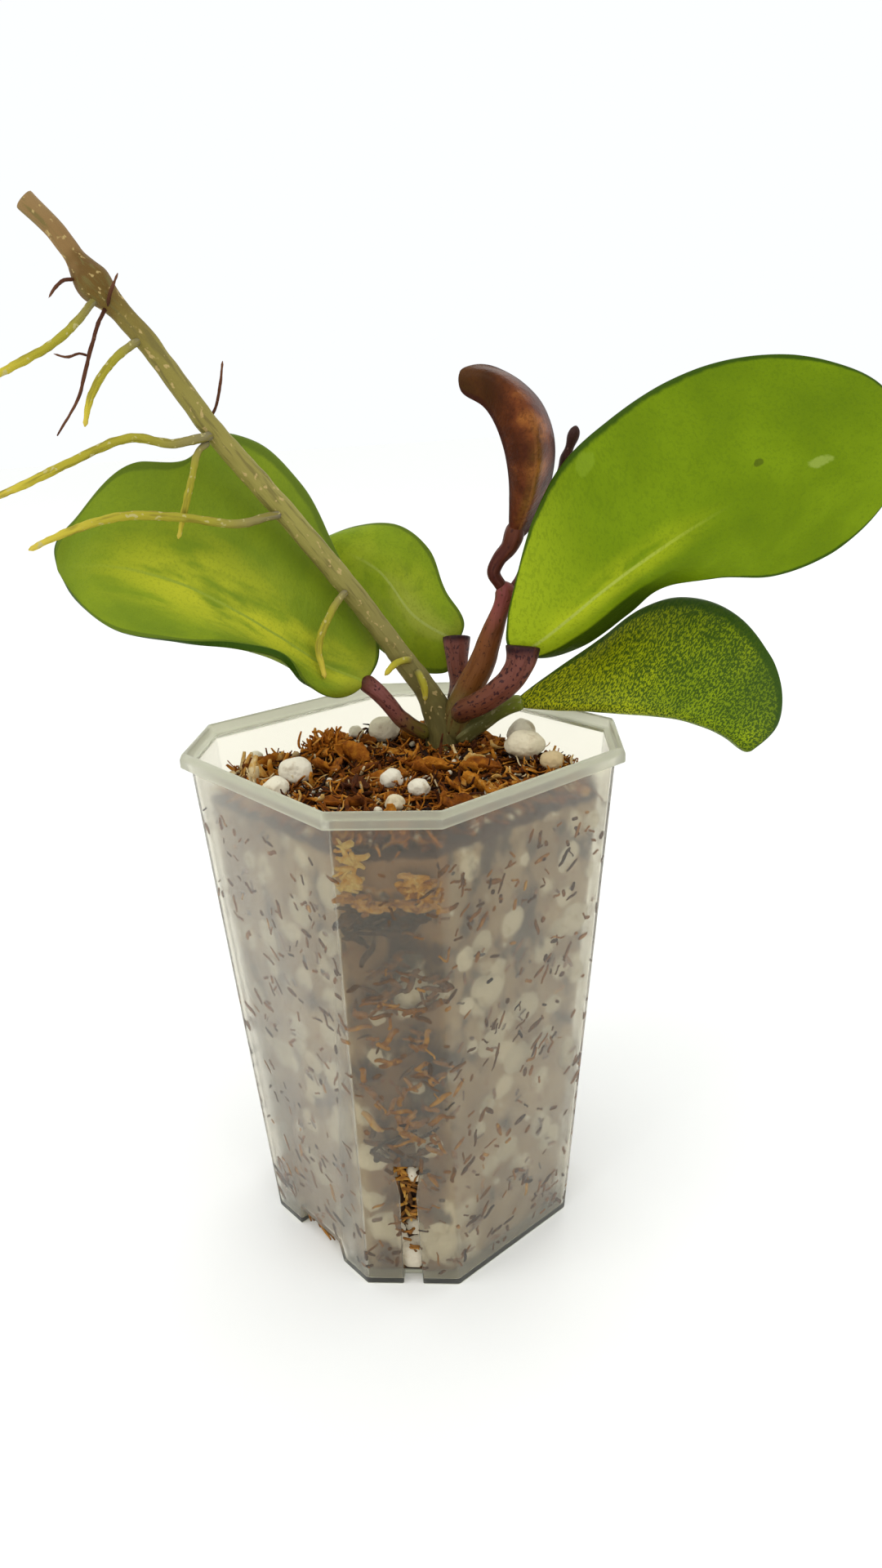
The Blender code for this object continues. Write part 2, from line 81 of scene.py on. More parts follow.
LONGEST_FLECK = 4.2            # longer straight shreds stick out through the wall near its corners
MOSS_FIBRES = 230
SLOT_SHREDS = 26               # shreds behind each slot

# Plant, mm
THINNED = 0.62                 # withered twigs are this share of their drawn thickness
DRIED_ROOT = "aerial_root_5"   # a root that has withered like a twig
PLANT_TURN = Matrix.Rotation(math.radians(50.7), 4, "Z")
STEMS = {
    "main_stem": [
        (9.2, 21.6, 94, 3.4), (9.6, 21, 105.5, 4.6), (8.9, 20.8, 111, 4.1),
        (6.5, 21, 117.5, 3), (0.5, 20, 127, 2.6), (-11.5, 18, 145, 2.5),
        (-26.5, 15.5, 165, 2.4),
        (-36.5, 14, 178, 2.3), (-42, 13, 186.5, 2.2), (-47, 12, 194.5, 2.2),
        (-52.5, 11.2, 201.5, 2.4), (-55.5, 10.5, 205, 3.5), (-58, 10.2, 209, 2.1),
        (-61, 10, 214, 1.9), (-66, 9, 219.4, 2)],
    "new_shoot": [
        (11.4, 19.6, 107, 3), (13, 19, 113.6, 3.7), (14.8, 18.8, 118.5, 3.3),
        (18, 18, 125, 3.1), (20.8, 17.5, 133, 2.5), (23, 17.5, 138.5, 2),
        (23.9, 17.5, 141.5, 2.4), (23.6, 17.5, 143.2, 1.6), (23.4, 17.5, 144, 0.5)],
    "vine_tip": [
        (24.6, 18.4, 141, 0.9), (26.6, 20.2, 143.4, 0.8), (29.5, 23, 148.5, 0.8),
        (33.5, 25, 158.5, 0.9), (37.2, 25, 166.4, 0.9), (38, 24.8, 168.6, 1.3),
        (38.8, 24.6, 171, 0.9), (39.6, 24.2, 173.6, 1.4), (40.2, 24, 175.6, 0.9)],
    "petiole_left": [
        (6, 20.2, 108.8, 1.9), (3, 18.9, 110.6, 1.9), (-0.3, 17, 113.6, 1.9),
        (-4, 15, 119, 1.9), (-6.6, 14.2, 122, 2), (-9, 13.8, 124.2, 2.2)],
    "petiole_back": [
        (12.8, 23.4, 115.5, 2.6), (13.8, 25.8, 118.5, 2.6), (13.3, 27.9, 123.5, 2.6),
        (13.4, 30, 129.6, 3.4)],
    "petiole_right": [
        (12.6, 14.8, 114.6, 2.2), (13.8, 12.8, 116.3, 2.6), (16.8, 10.6, 118.2, 2.7),
        (20.8, 8.8, 121.2, 2.8), (24.4, 8.4, 124.8, 3), (26.2, 8.6, 128.6, 3.4),
        (26.6, 9, 131.4, 4)],
    "petiole_low": [
        (12, 18.8, 107.6, 3), (15.4, 17.6, 110.4, 2.4), (19, 16.8, 112.8, 2),
        (23.8, 15, 116, 1.9), (27.6, 14, 117.4, 2)],
    "petiole_young": [
        (23.4, 17.5, 141.8, 1.6), (22.6, 17.5, 143.2, 1.4), (21.2, 17.5, 145.6, 1.5),
        (22.3, 17, 148.6, 1.6), (24.6, 16.2, 151.4, 1.9), (25.6, 15.8, 154, 2.2),
        (26.2, 15.6, 157, 1.6)],
    "aerial_root_1": [
        (-54.6, 9.6, 202.6, 0.7), (-56.5, 8.2, 200.3, 0.7), (-59, 7, 197.5, 0.8),
        (-63.5, 5.5, 194, 0.8), (-70, 3, 190.5, 0.8), (-75.5, 0, 187.5, 0.5)],
    "aerial_root_2": [
        (-36, 12.6, 176.4, 0.9), (-38, 10.2, 176, 0.9), (-43.5, 8, 175.2, 0.9),
        (-49.5, 5, 176.6, 0.9), (-62, 0, 172.5, 0.8), (-70, -3, 169, 0.8),
        (-76.5, -5, 166.5, 0.5)],
    "aerial_root_3": [
        (-23.6, 14.2, 160.2, 0.9), (-25.8, 12.4, 160, 0.9), (-31.5, 10, 159, 0.9),
        (-42, 6, 161, 0.9), (-54, 2, 162, 0.9), (-63, -2, 160, 0.8),
        (-70.5, -5, 157, 0.5)],
    "aerial_root_4": [
        (-47.6, 11, 194.6, 0.8), (-49.6, 8.8, 193.4, 0.8), (-53.5, 7, 190, 0.8),
        (-57.5, 5, 184, 0.7), (-59, 4, 179, 0.4)],
    "aerial_root_5": [
        (-53.4, 10, 200.6, 0.6), (-54.5, 7.8, 198, 0.6), (-57, 6, 191.5, 0.6),
        (-59.6, 5, 184.5, 0.5), (-64.5, 4, 177.5, 0.3)],
    "aerial_root_6": [
        (-36.8, 12.4, 175.2, 0.7), (-38.8, 10, 173.4, 0.7), (-40, 9, 169.5, 0.7),
        (-42, 8, 163.4, 0.7), (-44.5, 9, 156.5, 0.4)],
    "aerial_root_7": [
        (-11, 16, 143.4, 0.8), (-12.6, 13.6, 142, 0.8), (-15, 12, 138.5, 0.8),
        (-17.4, 10.6, 133, 0.8), (-16.4, 8.4, 126, 0.5)],
    "aerial_root_8": [
        (2.6, 17.6, 127, 0.8), (1.2, 15.8, 127.6, 0.8), (-1.4, 14.4, 126.9, 0.8),
        (-3.6, 12.8, 125, 0.5)],
    "aerial_root_9": [
        (3.6, 18.2, 124.4, 0.8), (4, 16.4, 124, 0.8), (5, 15.6, 121.6, 0.9),
        (5.2, 15.8, 118, 0.5)],
    "dry_twig_1": [
        (-58.2, 8.6, 205.4, 0.6), (-60, 7.6, 205.2, 0.6), (-61.6, 7, 204, 0.5),
        (-63, 6, 202, 0.3)],
    "dry_twig_2": [
        (-52.8, 8.8, 200.6, 0.6), (-51.8, 7.2, 202.4, 0.6), (-49.6, 6.4, 206, 0.3)],
    "dry_twig_3": [
        (-36.6, 15.4, 179.6, 0.5), (-35.5, 16.6, 181.5, 0.5), (-34, 16.4, 186, 0.5),
        (-33, 16, 190.5, 0.3)],
    "dry_twig_4": [
        (-57, 6.4, 191.8, 0.4), (-58.2, 5, 192.2, 0.4), (-60.6, 4, 191.6, 0.4),
        (-62.6, 2.8, 192.2, 0.3)],
}

# Each leaf: its crease, and its midrib and two edges, all running from the stalk to the tip.
LEAVES = {
    "leaf_left": (0.5,
     [(-8, 14, 123), (-15, 12.5, 126.5), (-27, 10, 135.5), (-45.5, 7, 147.5),
      (-61.5, 5.5, 152), (-69, 6, 151.5)],
     [(-8, 14, 123), (-5.2, 17.5, 126.5), (-5, 25, 132.5), (-12.5, 27, 148), (-20.5, 30, 165.5),
      (-29.5, 30, 174.5), (-38, 28, 176.5), (-43.5, 22, 171.5), (-54.5, 17, 171),
      (-64.5, 11, 162), (-69.5, 7, 155.5), (-69, 6, 151.5)],
     [(-8, 14, 123), (-13, 12, 121), (-20.5, 6, 125.5), (-24.5, 3, 132.5), (-33.5, 1, 135.5),
      (-44.5, 0, 137), (-58.5, 0, 140.5), (-66, 3, 147), (-69, 6, 151.5)]),
    "leaf_back": (0.6,
     [(14, 30.5, 128), (4.5, 34, 133.5), (-5, 38, 145), (-13.5, 40, 149), (-22, 41, 149)],
     [(14, 30.5, 128), (15.4, 31.2, 131.4), (11.2, 36.0, 139.4), (7.8, 41, 148.5), (1.5, 43, 153.5),
      (-8.5, 44, 153.5), (-17, 43, 151), (-22, 41, 149)],
     [(14, 30.5, 128), (11.5, 33, 120.5), (5.5, 36, 120), (-6, 41, 126), (-15, 44, 140),
      (-21, 43, 146), (-22, 41, 149)]),
    "leaf_right": (0.4,
     [(26, 8.5, 129.5), (35, 7, 136.5), (47.5, 5, 146.5), (61, 3, 155.5), (77.5, 1, 164.5),
      (92, -1, 169), (102, -2, 170.5)],
     [(26, 8.5, 129.5), (23.4, 9.4, 130.6), (23.2, 10.4, 136), (25.2, 11.5, 143.5),
      (29.5, 12.5, 157.5),
      (35, 12.5, 168), (45, 11.5, 177), (55.5, 10, 183.5), (65.5, 8, 187), (75.5, 5.5, 188),
      (85.5, 3, 186.5), (96, 0, 181.5), (102, -2, 170.5)],
     [(26, 8.5, 129.5), (31, 12, 128), (41, 17, 129.5), (50.5, 17, 136), (57, 10, 143),
      (67, 5, 145), (78, 3, 145), (88, 1, 149), (98, -1, 159), (102, -2, 170.5)]),
    "leaf_low": (0.3,
     [(25, 14.5, 117), (36, 11, 116.5), (45, 7, 117), (54, 3, 117), (63, -1, 116),
      (69, -4, 113.5), (73, -6, 110)],
     [(25, 14.5, 117), (35, 17, 123.5), (46.5, 19.5, 130), (55.5, 21, 136), (62.5, 21, 138),
      (69, 19, 137.5), (75, 15, 134.5), (79.5, 9, 128.5), (81.5, 3, 121), (79.5, -2, 114),
      (73, -6, 110)],
     [(25, 14.5, 117), (37, 22, 118), (48.5, 28, 119), (59.5, 29, 119.5), (68, 24, 117),
      (71.5, 11, 112), (72.5, 1, 109.5), (73, -6, 110)]),
    "leaf_young": (0.6,
     [(25.5, 16, 152.5), (28.5, 11, 163.5), (29, 9, 172.5), (26.5, 10, 180.5), (21, 13, 186),
      (15, 17, 187)],
     [(25.5, 16, 152.5), (25, 15, 156.5), (25, 14, 163.5), (23.5, 14, 172.5),
      (20, 15, 180), (15, 16.5, 183.5), (15, 17, 187)],
     [(25.5, 16, 152.5), (28.5, 17, 154.5), (33.5, 19, 164), (34.5, 20, 172.5), (31.5, 20, 180.5),
      (25, 19, 186), (19.5, 18, 188), (15, 17, 187)]),
}


# Straw tufts that stand up from the mix: a place x, y in the plant's frame, a height and a tone.
STRAWS = [(-33, 1, 8, 0.92), (-31, 2, 7, 0.8), (-32, -1, 6, 0.95), (-35, 5, 7, 0.85),
          (-29, 3, 6, 0.75), (-36, 9, 6, 0.9), (-24, 4, 5, 0.8), (-20, -4, 5, 0.7),
          (-34, 11, 5, 0.95), (-27, 8, 6, 0.7), (12, -9, 5, 0.8), (-9, -12, 5, 0.85),
          (33, 9, 4, 0.8), (20, 6, 5, 0.6)]

# Loose pieces on the mix: a place x, y in the plant's frame, and sizes along x, y, z, in mm.
GRAINS = {
    "perlite_1": ((-23.4, -1.1), (7.3, 6.6, 6.0), 0.3),
    "perlite_2": ((-26.8, -9.4), (5.6, 6.0, 4.6), 0.5),
    "perlite_3": ((-4.6, 25.6), (7.6, 6.2, 6.4), 0.6),
    "perlite_4": ((-3.0, -7.4), (5.0, 4.6, 4.6), 0.2),
    "perlite_5": ((2.6, -12.4), (4.8, 4.2, 4.0), 0.3),
    "perlite_6": ((26.6, 7.2), (9.2, 7.8, 7.0), 0.7),
    "perlite_7": ((27.0, 17.4), (6.8, 6.0, 6.6), 0.5),
    "perlite_8": ((31.6, -0.6), (5.4, 5.0, 4.4), 0.95),
    "perlite_9": ((-33.6, 14.0), (3.4, 3.2, 3.0), 0.4),
    "perlite_10": ((-11.4, 28.6), (3.8, 3.6, 3.4), 0.4),
    "perlite_11": ((-2.4, -20.6), (4.2, 4.0, 3.4), 0.8),
}
CHIPS = {
    "husk_chip_1": ((17.0, 0.4), (9.0, 6.0, 4.4), 0.5),
    "husk_chip_2": ((6.6, 2.0), (8.4, 5.0, 4.0), 0.62),
    "husk_chip_3": ((-13.4, -15.0), (8.0, 5.4, 2.6), 0.45),
    "husk_chip_4": ((-33.6, 6.6), (4.6, 5.0, 4.8), 0.4),
}
MOSS = ((-17.2, 15.6), (11.0, 8.0, 6.4))

# Husk behind the front corner: its height and spread, its bearing and spread in degrees, a count,
# a tone and a depth behind the wall's face.
FRONT_TUFTS = [
    (95.5, 1.0, 1, 13, 30, 0.72, 1.3), (91.0, 2.4, -3, 11, 34, 0.08, 1.6),
    (103.0, 2.4, -9, 1.4, 22, 0.98, 0.9), (98.5, 1.6, 7, 3, 20, 0.74, 0.95),
    (80.0, 5.0, 3, 11, 26, 0.40, 1.3), (66.0, 6.0, 0, 12, 18, 0.6, 0.95),
    (50.0, 7.0, 0, 12, 30, 0.66, 0.95), (37.0, 2.6, 0, 11, 20, 0.15, 1.4)]

# Perlite behind each slot: its height, its sizes down, along and through the wall, its tone.
SLOT_GRAINS = [(6.5, (9.0, 7.6, 4.0), 0.3), (14.6, (4.6, 4.6, 3.0), 0.1),
               (29.5, (4.6, 4.0, 3.0), 0.4)]

CAMERA_PLACE = (167.70, -137.26, 181.31)   # mm from the foot of the pot's axis
CAMERA_TURN = (70.274, 1.852, 48.048)      # degrees about X, Y and Z
CAMERA_LENS = 24.47
# Each lamp: its name, its place in metres, its diameter in metres, and its share of the power.
LIGHTS = [
    ("key_lamp", (-0.15, -1.05, 1.15), 0.9, 1.0),
    ("fill_lamp", (1.20, 0.10, 0.90), 1.0, 0.5),
    ("back_lamp", (-0.50, 0.90, 1.10), 0.9, 0.5),
]


# ---- colours and materials ----

SOFT_SPECULAR = 0.15           # dull natural surfaces reflect little of a white room
SMOOTH = {"interpolation_type": "SMOOTHSTEP"}
HUSK_STOPS = [(0.0, "#1f0f06"), (0.25, "#4c2409"), (0.5, "#8a4c0c"), (0.70, "#b6741c"),
              (0.88, "#c69c54"), (1.0, "#d6c296")]

# Each kind of stem skin: its bands of colour from foot to tip, its streaks, flecks and roughness.
BARKS = {
    "old_stem_bark": ([(0.0, "#57502a"), (0.14, "#5c532a"), (0.22, "#827944"), (0.5, "#948c48"),
                       (0.78, "#857a3a"), (0.86, "#6a5222"), (0.90, "#644a20"), (0.93, "#86683e"),
                       (1.0, "#8c7046")],
                      "#6c6234", "#b8a068", 0.6, 1.3, 0.63),
    "brown_shoot_skin": ([(0.0, "#665f34"), (0.24, "#6a5a2c"), (0.36, "#70451c"),
                          (0.66, "#744220"), (0.85, "#80403a"), (1.0, "#783a36")],
                         "#5c3416", "#43260f", 0.42, 0.7, 0.62),
    "dark_runner_skin": ([(0.0, "#6a3a34"), (0.6, "#4c2a22"), (1.0, "#3a211a")],
                         "#2c1712", "#7c5c4c", 0.5, 1.2, 0.66),
    "mauve_stalk_skin": ([(0.0, "#5c581c"), (0.26, "#665226"), (0.5, "#7c4a40"),
                          (0.85, "#84504a"), (0.94, "#5a3020"), (1.0, "#3c2412")],
                         "#5c3024", "#34141c", 0.45, 0.75, 0.60),
    "spotted_stalk_skin": ([(0.0, "#5c4a22"), (0.12, "#663c26"), (0.5, "#6c3c2c"),
                            (0.86, "#74443a"), (0.94, "#34181a"), (1.0, "#281210")],
                           "#542c20", "#220c16", 0.42, 0.75, 0.56),
    "green_stalk_skin": ([(0.0, "#4f4722"), (0.5, "#5a5a2c"), (1.0, "#6f7a20")],
                         "#747044", "#8c8860", 0.5, 0.8, 0.62),
    "maroon_stalk_skin": ([(0.0, "#4a2016"), (0.5, "#461c16"), (1.0, "#5a2e18")],
                          "#5e3020", "#33140e", 0.4),
    "ochre_root_skin": ([(0.0, "#777058"), (0.14, "#8a8048"), (0.3, "#9a9230"), (0.6, "#a49a2c"),
                         (0.88, "#c0b03a"), (1.0, "#ccb64a")],
                        "#7e7428", "#b8ae74", 0.75, 1.2, 0.6),
    "dry_twig_skin": ([(0.0, "#4a2a1a"), (0.5, "#54321f"), (1.0, "#6a4630")],
                      "#3c2014", "#80604a", 0.8),
}
# Each stem: its skin, its slot, and how lumpy it is in mm.
STEM_KINDS = {
    "main_stem": ("old_stem_bark", "stem", 0.24),
    "new_shoot": ("brown_shoot_skin", "shoot", 0.18),
    "vine_tip": ("dark_runner_skin", "shoot", 0.16),
    "petiole_left": ("mauve_stalk_skin", "petiole", 0.14),
    "petiole_back": ("spotted_stalk_skin", "petiole", 0.14),
    "petiole_right": ("spotted_stalk_skin", "petiole", 0.14),
    "petiole_low": ("green_stalk_skin", "petiole", 0.16),
    "petiole_young": ("maroon_stalk_skin", "shoot", 0.10),
}

def linear(code):
    """The linear colour of an sRGB hex value."""
    channels = [int(code[start:start + 2], 16) / 255 for start in (1, 3, 5)]
    return (*[c / 12.92 if c <= 0.04045 else ((c + 0.055) / 1.055) ** 2.4 for c in channels], 1.0)


def per(size):
    """The pattern scale whose features are this many millimetres across."""
    return 1 / (size * MM)


def add_node(tree, kind, inputs=None, stops=None, **settings):
    """Add a shader node with its settings; inputs are values, sockets or nodes to link from."""
    node = tree.nodes.new("ShaderNode" + kind)
    for name, value in settings.items():
        setattr(node, name, value)
    if stops:
        ramp = node.color_ramp
        while len(ramp.elements) < len(stops):
            ramp.elements.new(1.0)
        for element, (position, shade) in zip(ramp.elements, stops):
            element.position = position
            element.color = linear(shade)
    for name, value in (inputs or {}).items():
        if isinstance(name, int):
            socket = node.inputs[name]
        else:
            socket = next(item for item in node.inputs if item.enabled and item.name == name)
        if isinstance(value, bpy.types.Node):
            value = next(item for item in value.outputs if item.enabled)
        if isinstance(value, bpy.types.NodeSocket):
            tree.links.new(value, socket)
        else:
            socket.default_value = linear(value) if isinstance(value, str) else value
    return node


def start_finish(name, **values):
    """A new material, its node tree and its shader, with the shader's own values set."""
    material = bpy.data.materials.new(name)
    material.use_nodes = True
    tree = material.node_tree
    shader = tree.nodes["Principled BSDF"]
    shader.inputs["Specular IOR Level"].default_value = SOFT_SPECULAR
    for key, value in values.items():
        shader.inputs[key.replace("_", " ")].default_value = value
    return material, tree, shader


def band(value, start, end, top=1.0):
    """A Map Range node's inputs: 0 at start of a value, rising or falling smoothly to top at end."""
    low, high = min(start, end), max(start, end)
    first, last = (0.0, top) if start < end else (top, 0.0)
    return {"Value": value, "From Min": low, "From Max": high, "To Min": first, "To Max": last}


def layered(tree, base, *layers):
    """Lay colours over a base one after another, each given as its factor and its colour."""
    for factor, shade in layers:
        base = add_node(tree, "Mix", {"Factor": factor, "A": base, "B": shade}, data_type="RGBA")
    return base


def emboss(tree, shader, height, depth):
    """Give a shader a relief of this depth in millimetres from a height."""
    bump = add_node(tree, "Bump", {"Height": height, "Distance": depth * MM})
    tree.links.new(bump.outputs["Normal"], shader.inputs["Normal"])


def connect(tree, shader, shade, height, depth):
    """Give a shader its colour and its relief."""
    tree.links.new(next(item for item in shade.outputs if item.enabled),
                   shader.inputs["Base Color"])
    emboss(tree, shader, height, depth)


def polypropylene_finish(name, settings, roughness, colour, clearness):
    """Clear moulded polypropylene: what touches the wall shows, and what lies deeper is milky."""
    material, tree, shader = start_finish(
        name, Roughness=roughness, IOR=settings.bend, Base_Color=(*colour, 1.0),
        Transmission_Weight=clearness, Specular_IOR_Level=0.5)
    place = add_node(tree, "TexCoord").outputs["Object"]
    ripple = add_node(tree, "TexNoise", {"Vector": place, "Scale": per(2.0), "Detail": 2.0})
    emboss(tree, shader, ripple, 0.02)
    return material


def mix_finish():
    """Old orchid mix: dull damp husk, bark and dust, with soft pale grains, brown flecks and painted
    shade behind the slots.
    """
    material, tree, shader = start_finish("damp_husk_and_perlite_mix", Roughness=0.85)
    origin = add_node(tree, "TexCoord").outputs["Object"]
    place = add_node(tree, "Mapping", {"Vector": origin, "Location": -POT_AXIS})
    slanted = add_node(tree, "Mapping", {"Vector": place, "Rotation": (0.5, 0.35, 0.0),
                                         "Scale": (1.0, 1.0, 0.62)})
    parts = add_node(tree, "SeparateXYZ", {"Vector": place})
    height = parts.outputs["Z"]
    bearing = add_node(tree, "Math", {0: parts.outputs["Y"], 1: parts.outputs["X"]},
                       operation="ARCTAN2")
    off_corner = add_node(tree, "Math", {0: bearing, 1: math.radians(45)}, operation="ADD")
    off_front = add_node(tree, "Math", {0: off_corner}, operation="ABSOLUTE")
    off_right = add_node(tree, "Math", {0: bearing, 1: math.radians(6)}, operation="ADD")
    off_side = add_node(tree, "Math", {0: off_right}, operation="ABSOLUTE")
    front = add_node(tree, "MapRange", band(off_front, 0.30, 0.20), **SMOOTH)
    right = add_node(tree, "MapRange", band(off_side, 0.50, 0.30), **SMOOTH)
    waves = add_node(tree, "TexNoise", {"Vector": place, "Scale": per(5.5), "Detail": 5.0})
    level = add_node(tree, "Math", {0: waves, 1: 0.020, 2: height}, operation="MULTIPLY_ADD")
    broad = add_node(tree, "TexNoise", {"Vector": place, "Scale": per(15.0), "Detail": 2.0})
    blobs = add_node(tree, "TexVoronoi", {"Vector": place, "Scale": per(9.5), "Smoothness": 0.4,
                                          "Randomness": 1.0}, feature="SMOOTH_F1")
    blob_edge = add_node(tree, "TexNoise", {"Vector": place, "Scale": per(3.4), "Detail": 3.0})
    blob_height = add_node(tree, "Math", {0: blob_edge, 1: 0.40, 2: blobs.outputs["Distance"]},
                           operation="MULTIPLY_ADD")
    grit = add_node(tree, "TexNoise", {"Vector": slanted, "Scale": per(1.7), "Detail": 4.0})
    dark = add_node(tree, "TexNoise", {"Vector": slanted, "Scale": per(7.0), "Detail": 5.0,
                                       "Roughness": 0.6})
    base = add_node(tree, "ValToRGB", {"Fac": broad}, stops=[
        (0.30, "#83694a"), (0.45, "#998262"), (0.60, "#ad987a"), (0.75, "#8c7656")])
    taupe = add_node(tree, "MapRange", band(level, 0.1048, 0.1070, 0.94), **SMOOTH)
    gold = add_node(tree, "MapRange", band(level, 0.1035, 0.1065, 0.95), **SMOOTH)
    middle = add_node(tree, "MapRange", band(height, 0.020, 0.060, 0.09), **SMOOTH)
    front_dark = add_node(tree, "Math", {0: front, 1: 0.07, 2: middle}, operation="MULTIPLY_ADD")
    bias = add_node(tree, "Math", {0: right, 1: 0.03, 2: front_dark}, operation="MULTIPLY_ADD")
    darker = add_node(tree, "Math", {0: dark, 1: bias}, operation="ADD")
    shadow = add_node(tree, "MapRange", band(darker, 0.58, 0.74, 0.85), **SMOOTH)
    pale = add_node(tree, "MapRange", band(blob_height, 0.58, 0.40, 0.85), **SMOOTH)
    fleck = add_node(tree, "MapRange", band(grit, 0.62, 0.70, 0.85), **SMOOTH)
    front_gold = add_node(tree, "Math", {0: gold, 1: front}, operation="MULTIPLY")
    front_top = add_node(tree, "Math", {0: taupe, 1: front}, operation="MULTIPLY")
    brown = add_node(tree, "Math", {0: front, 1: 0.6}, operation="MULTIPLY")
    # Painted shade: the mix behind each corner's slot, below the slot's top, is darkened as the
    # shade in the slot's recess.
    folded = add_node(tree, "Math", {0: bearing, 1: math.radians(45)}, operation="PINGPONG")
    by_corner = add_node(tree, "MapRange", band(folded, math.radians(40.5), math.radians(42)),
                         **SMOOTH)
    low = add_node(tree, "MapRange", band(height, 0.0345, 0.0325), **SMOOTH)
    facing = add_node(tree, "SeparateXYZ", {"Vector": add_node(tree, "NewGeometry").outputs[
        "Normal"]}).outputs["Z"]
    top = add_node(tree, "MapRange", band(facing, 0.4, 0.8), **SMOOTH)
    slot = add_node(tree, "Math", {0: by_corner, 1: low}, operation="MULTIPLY")
    shade = layered(tree, base, (brown, "#6a4426"), (pale, "#d6cbb4"), (shadow, "#33221a"),
                    (fleck, "#7a4620"), (front_gold, "#c98a2c"), (front_top, "#86684a"),
                    (slot, "#2c1b10"), (top, "#43260f"))
    connect(tree, shader, shade, grit, 0.4)
    return material


def perlite_finish(name, stops):
    """Expanded perlite: a chalky, porous grain, its pits holding brown dust."""
    material, tree, shader = start_finish(name, Roughness=0.9)
    place = add_node(tree, "TexCoord").outputs["Object"]
    tone = add_node(tree, "Attribute", attribute_name="tone").outputs["Fac"]
    pores = add_node(tree, "TexVoronoi", {"Vector": place, "Scale": per(0.9)})
    dust = add_node(tree, "TexNoise", {"Vector": place, "Scale": per(2.6), "Detail": 4.0})
    base = add_node(tree, "ValToRGB", {"Fac": tone}, stops=stops)
    stain = add_node(tree, "MapRange", band(dust, 0.54, 0.72, 0.5), **SMOOTH)
    pit = add_node(tree, "MapRange", band(pores.outputs["Distance"], 0.22, 0.05, 0.25), **SMOOTH)
    shade = layered(tree, base, (stain, "#a58d68"), (pit, "#8d7a60"))
    connect(tree, shader, shade, pores.outputs["Distance"], 0.15)
    return material


def husk_finish(name, stops):
    """Dry coconut husk and bark shreds: matt fibre from near black through rust to straw."""
    material, tree, shader = start_finish(name, Roughness=0.8)
    place = add_node(tree, "TexCoord").outputs["Object"]
    tone = add_node(tree, "Attribute", attribute_name="tone").outputs["Fac"]
    mottle = add_node(tree, "TexNoise", {"Vector": place, "Scale": per(1.6), "Detail": 3.0})
    shift = add_node(tree, "MapRange", {"Value": mottle, "From Min": 0.3, "From Max": 0.7,
                                        "To Min": -0.14, "To Max": 0.14})
    both = add_node(tree, "Math", {0: tone, 1: shift}, operation="ADD", use_clamp=True)
    shade = add_node(tree, "ValToRGB", {"Fac": both}, stops=stops)
    fibre = add_node(tree, "TexNoise", {"Vector": place, "Scale": per(0.5), "Detail": 2.0})
    connect(tree, shader, shade, fibre, 0.25)
    return material


def bark_finish(name, bands, streak, fleck, roughness, fleck_size=1.6, fleck_share=0.62):
    """Living or dry stem skin: colours along its length, fine lengthwise streaks, and flecks."""
    material, tree, shader = start_finish(name, Roughness=roughness)
    share = add_node(tree, "Attribute", attribute_name="share").outputs["Fac"]
    grain = add_node(tree, "Attribute", attribute_name="grain").outputs["Vector"]
    wander = add_node(tree, "TexNoise", {"Vector": grain, "Scale": per(5.0), "Detail": 2.0})
    offset = add_node(tree, "MapRange", {"Value": wander, "To Min": -0.05, "To Max": 0.05})
    along = add_node(tree, "Math", {0: share, 1: offset}, operation="ADD")
    base = add_node(tree, "ValToRGB", {"Fac": along}, stops=bands)
    drawn = add_node(tree, "Mapping", {"Vector": grain, "Scale": (1.0, 1.0, 0.12)})
    streaks = add_node(tree, "TexNoise", {"Vector": drawn, "Scale": per(0.9), "Detail": 3.0})
    spots = add_node(tree, "Mapping", {"Vector": grain, "Scale": (1.0, 1.0, 0.8)})
    flecks = add_node(tree, "TexNoise", {"Vector": spots, "Scale": per(fleck_size), "Detail": 2.0})
    lined = add_node(tree, "MapRange", band(streaks, 0.50, 0.66, 0.7), **SMOOTH)
    dotted = add_node(tree, "MapRange", band(flecks, fleck_share, fleck_share + 0.06, 0.8),
                      **SMOOTH)
    shade = layered(tree, base, (lined, streak), (dotted, fleck))
    connect(tree, shader, shade, streaks, 0.3)
    return material


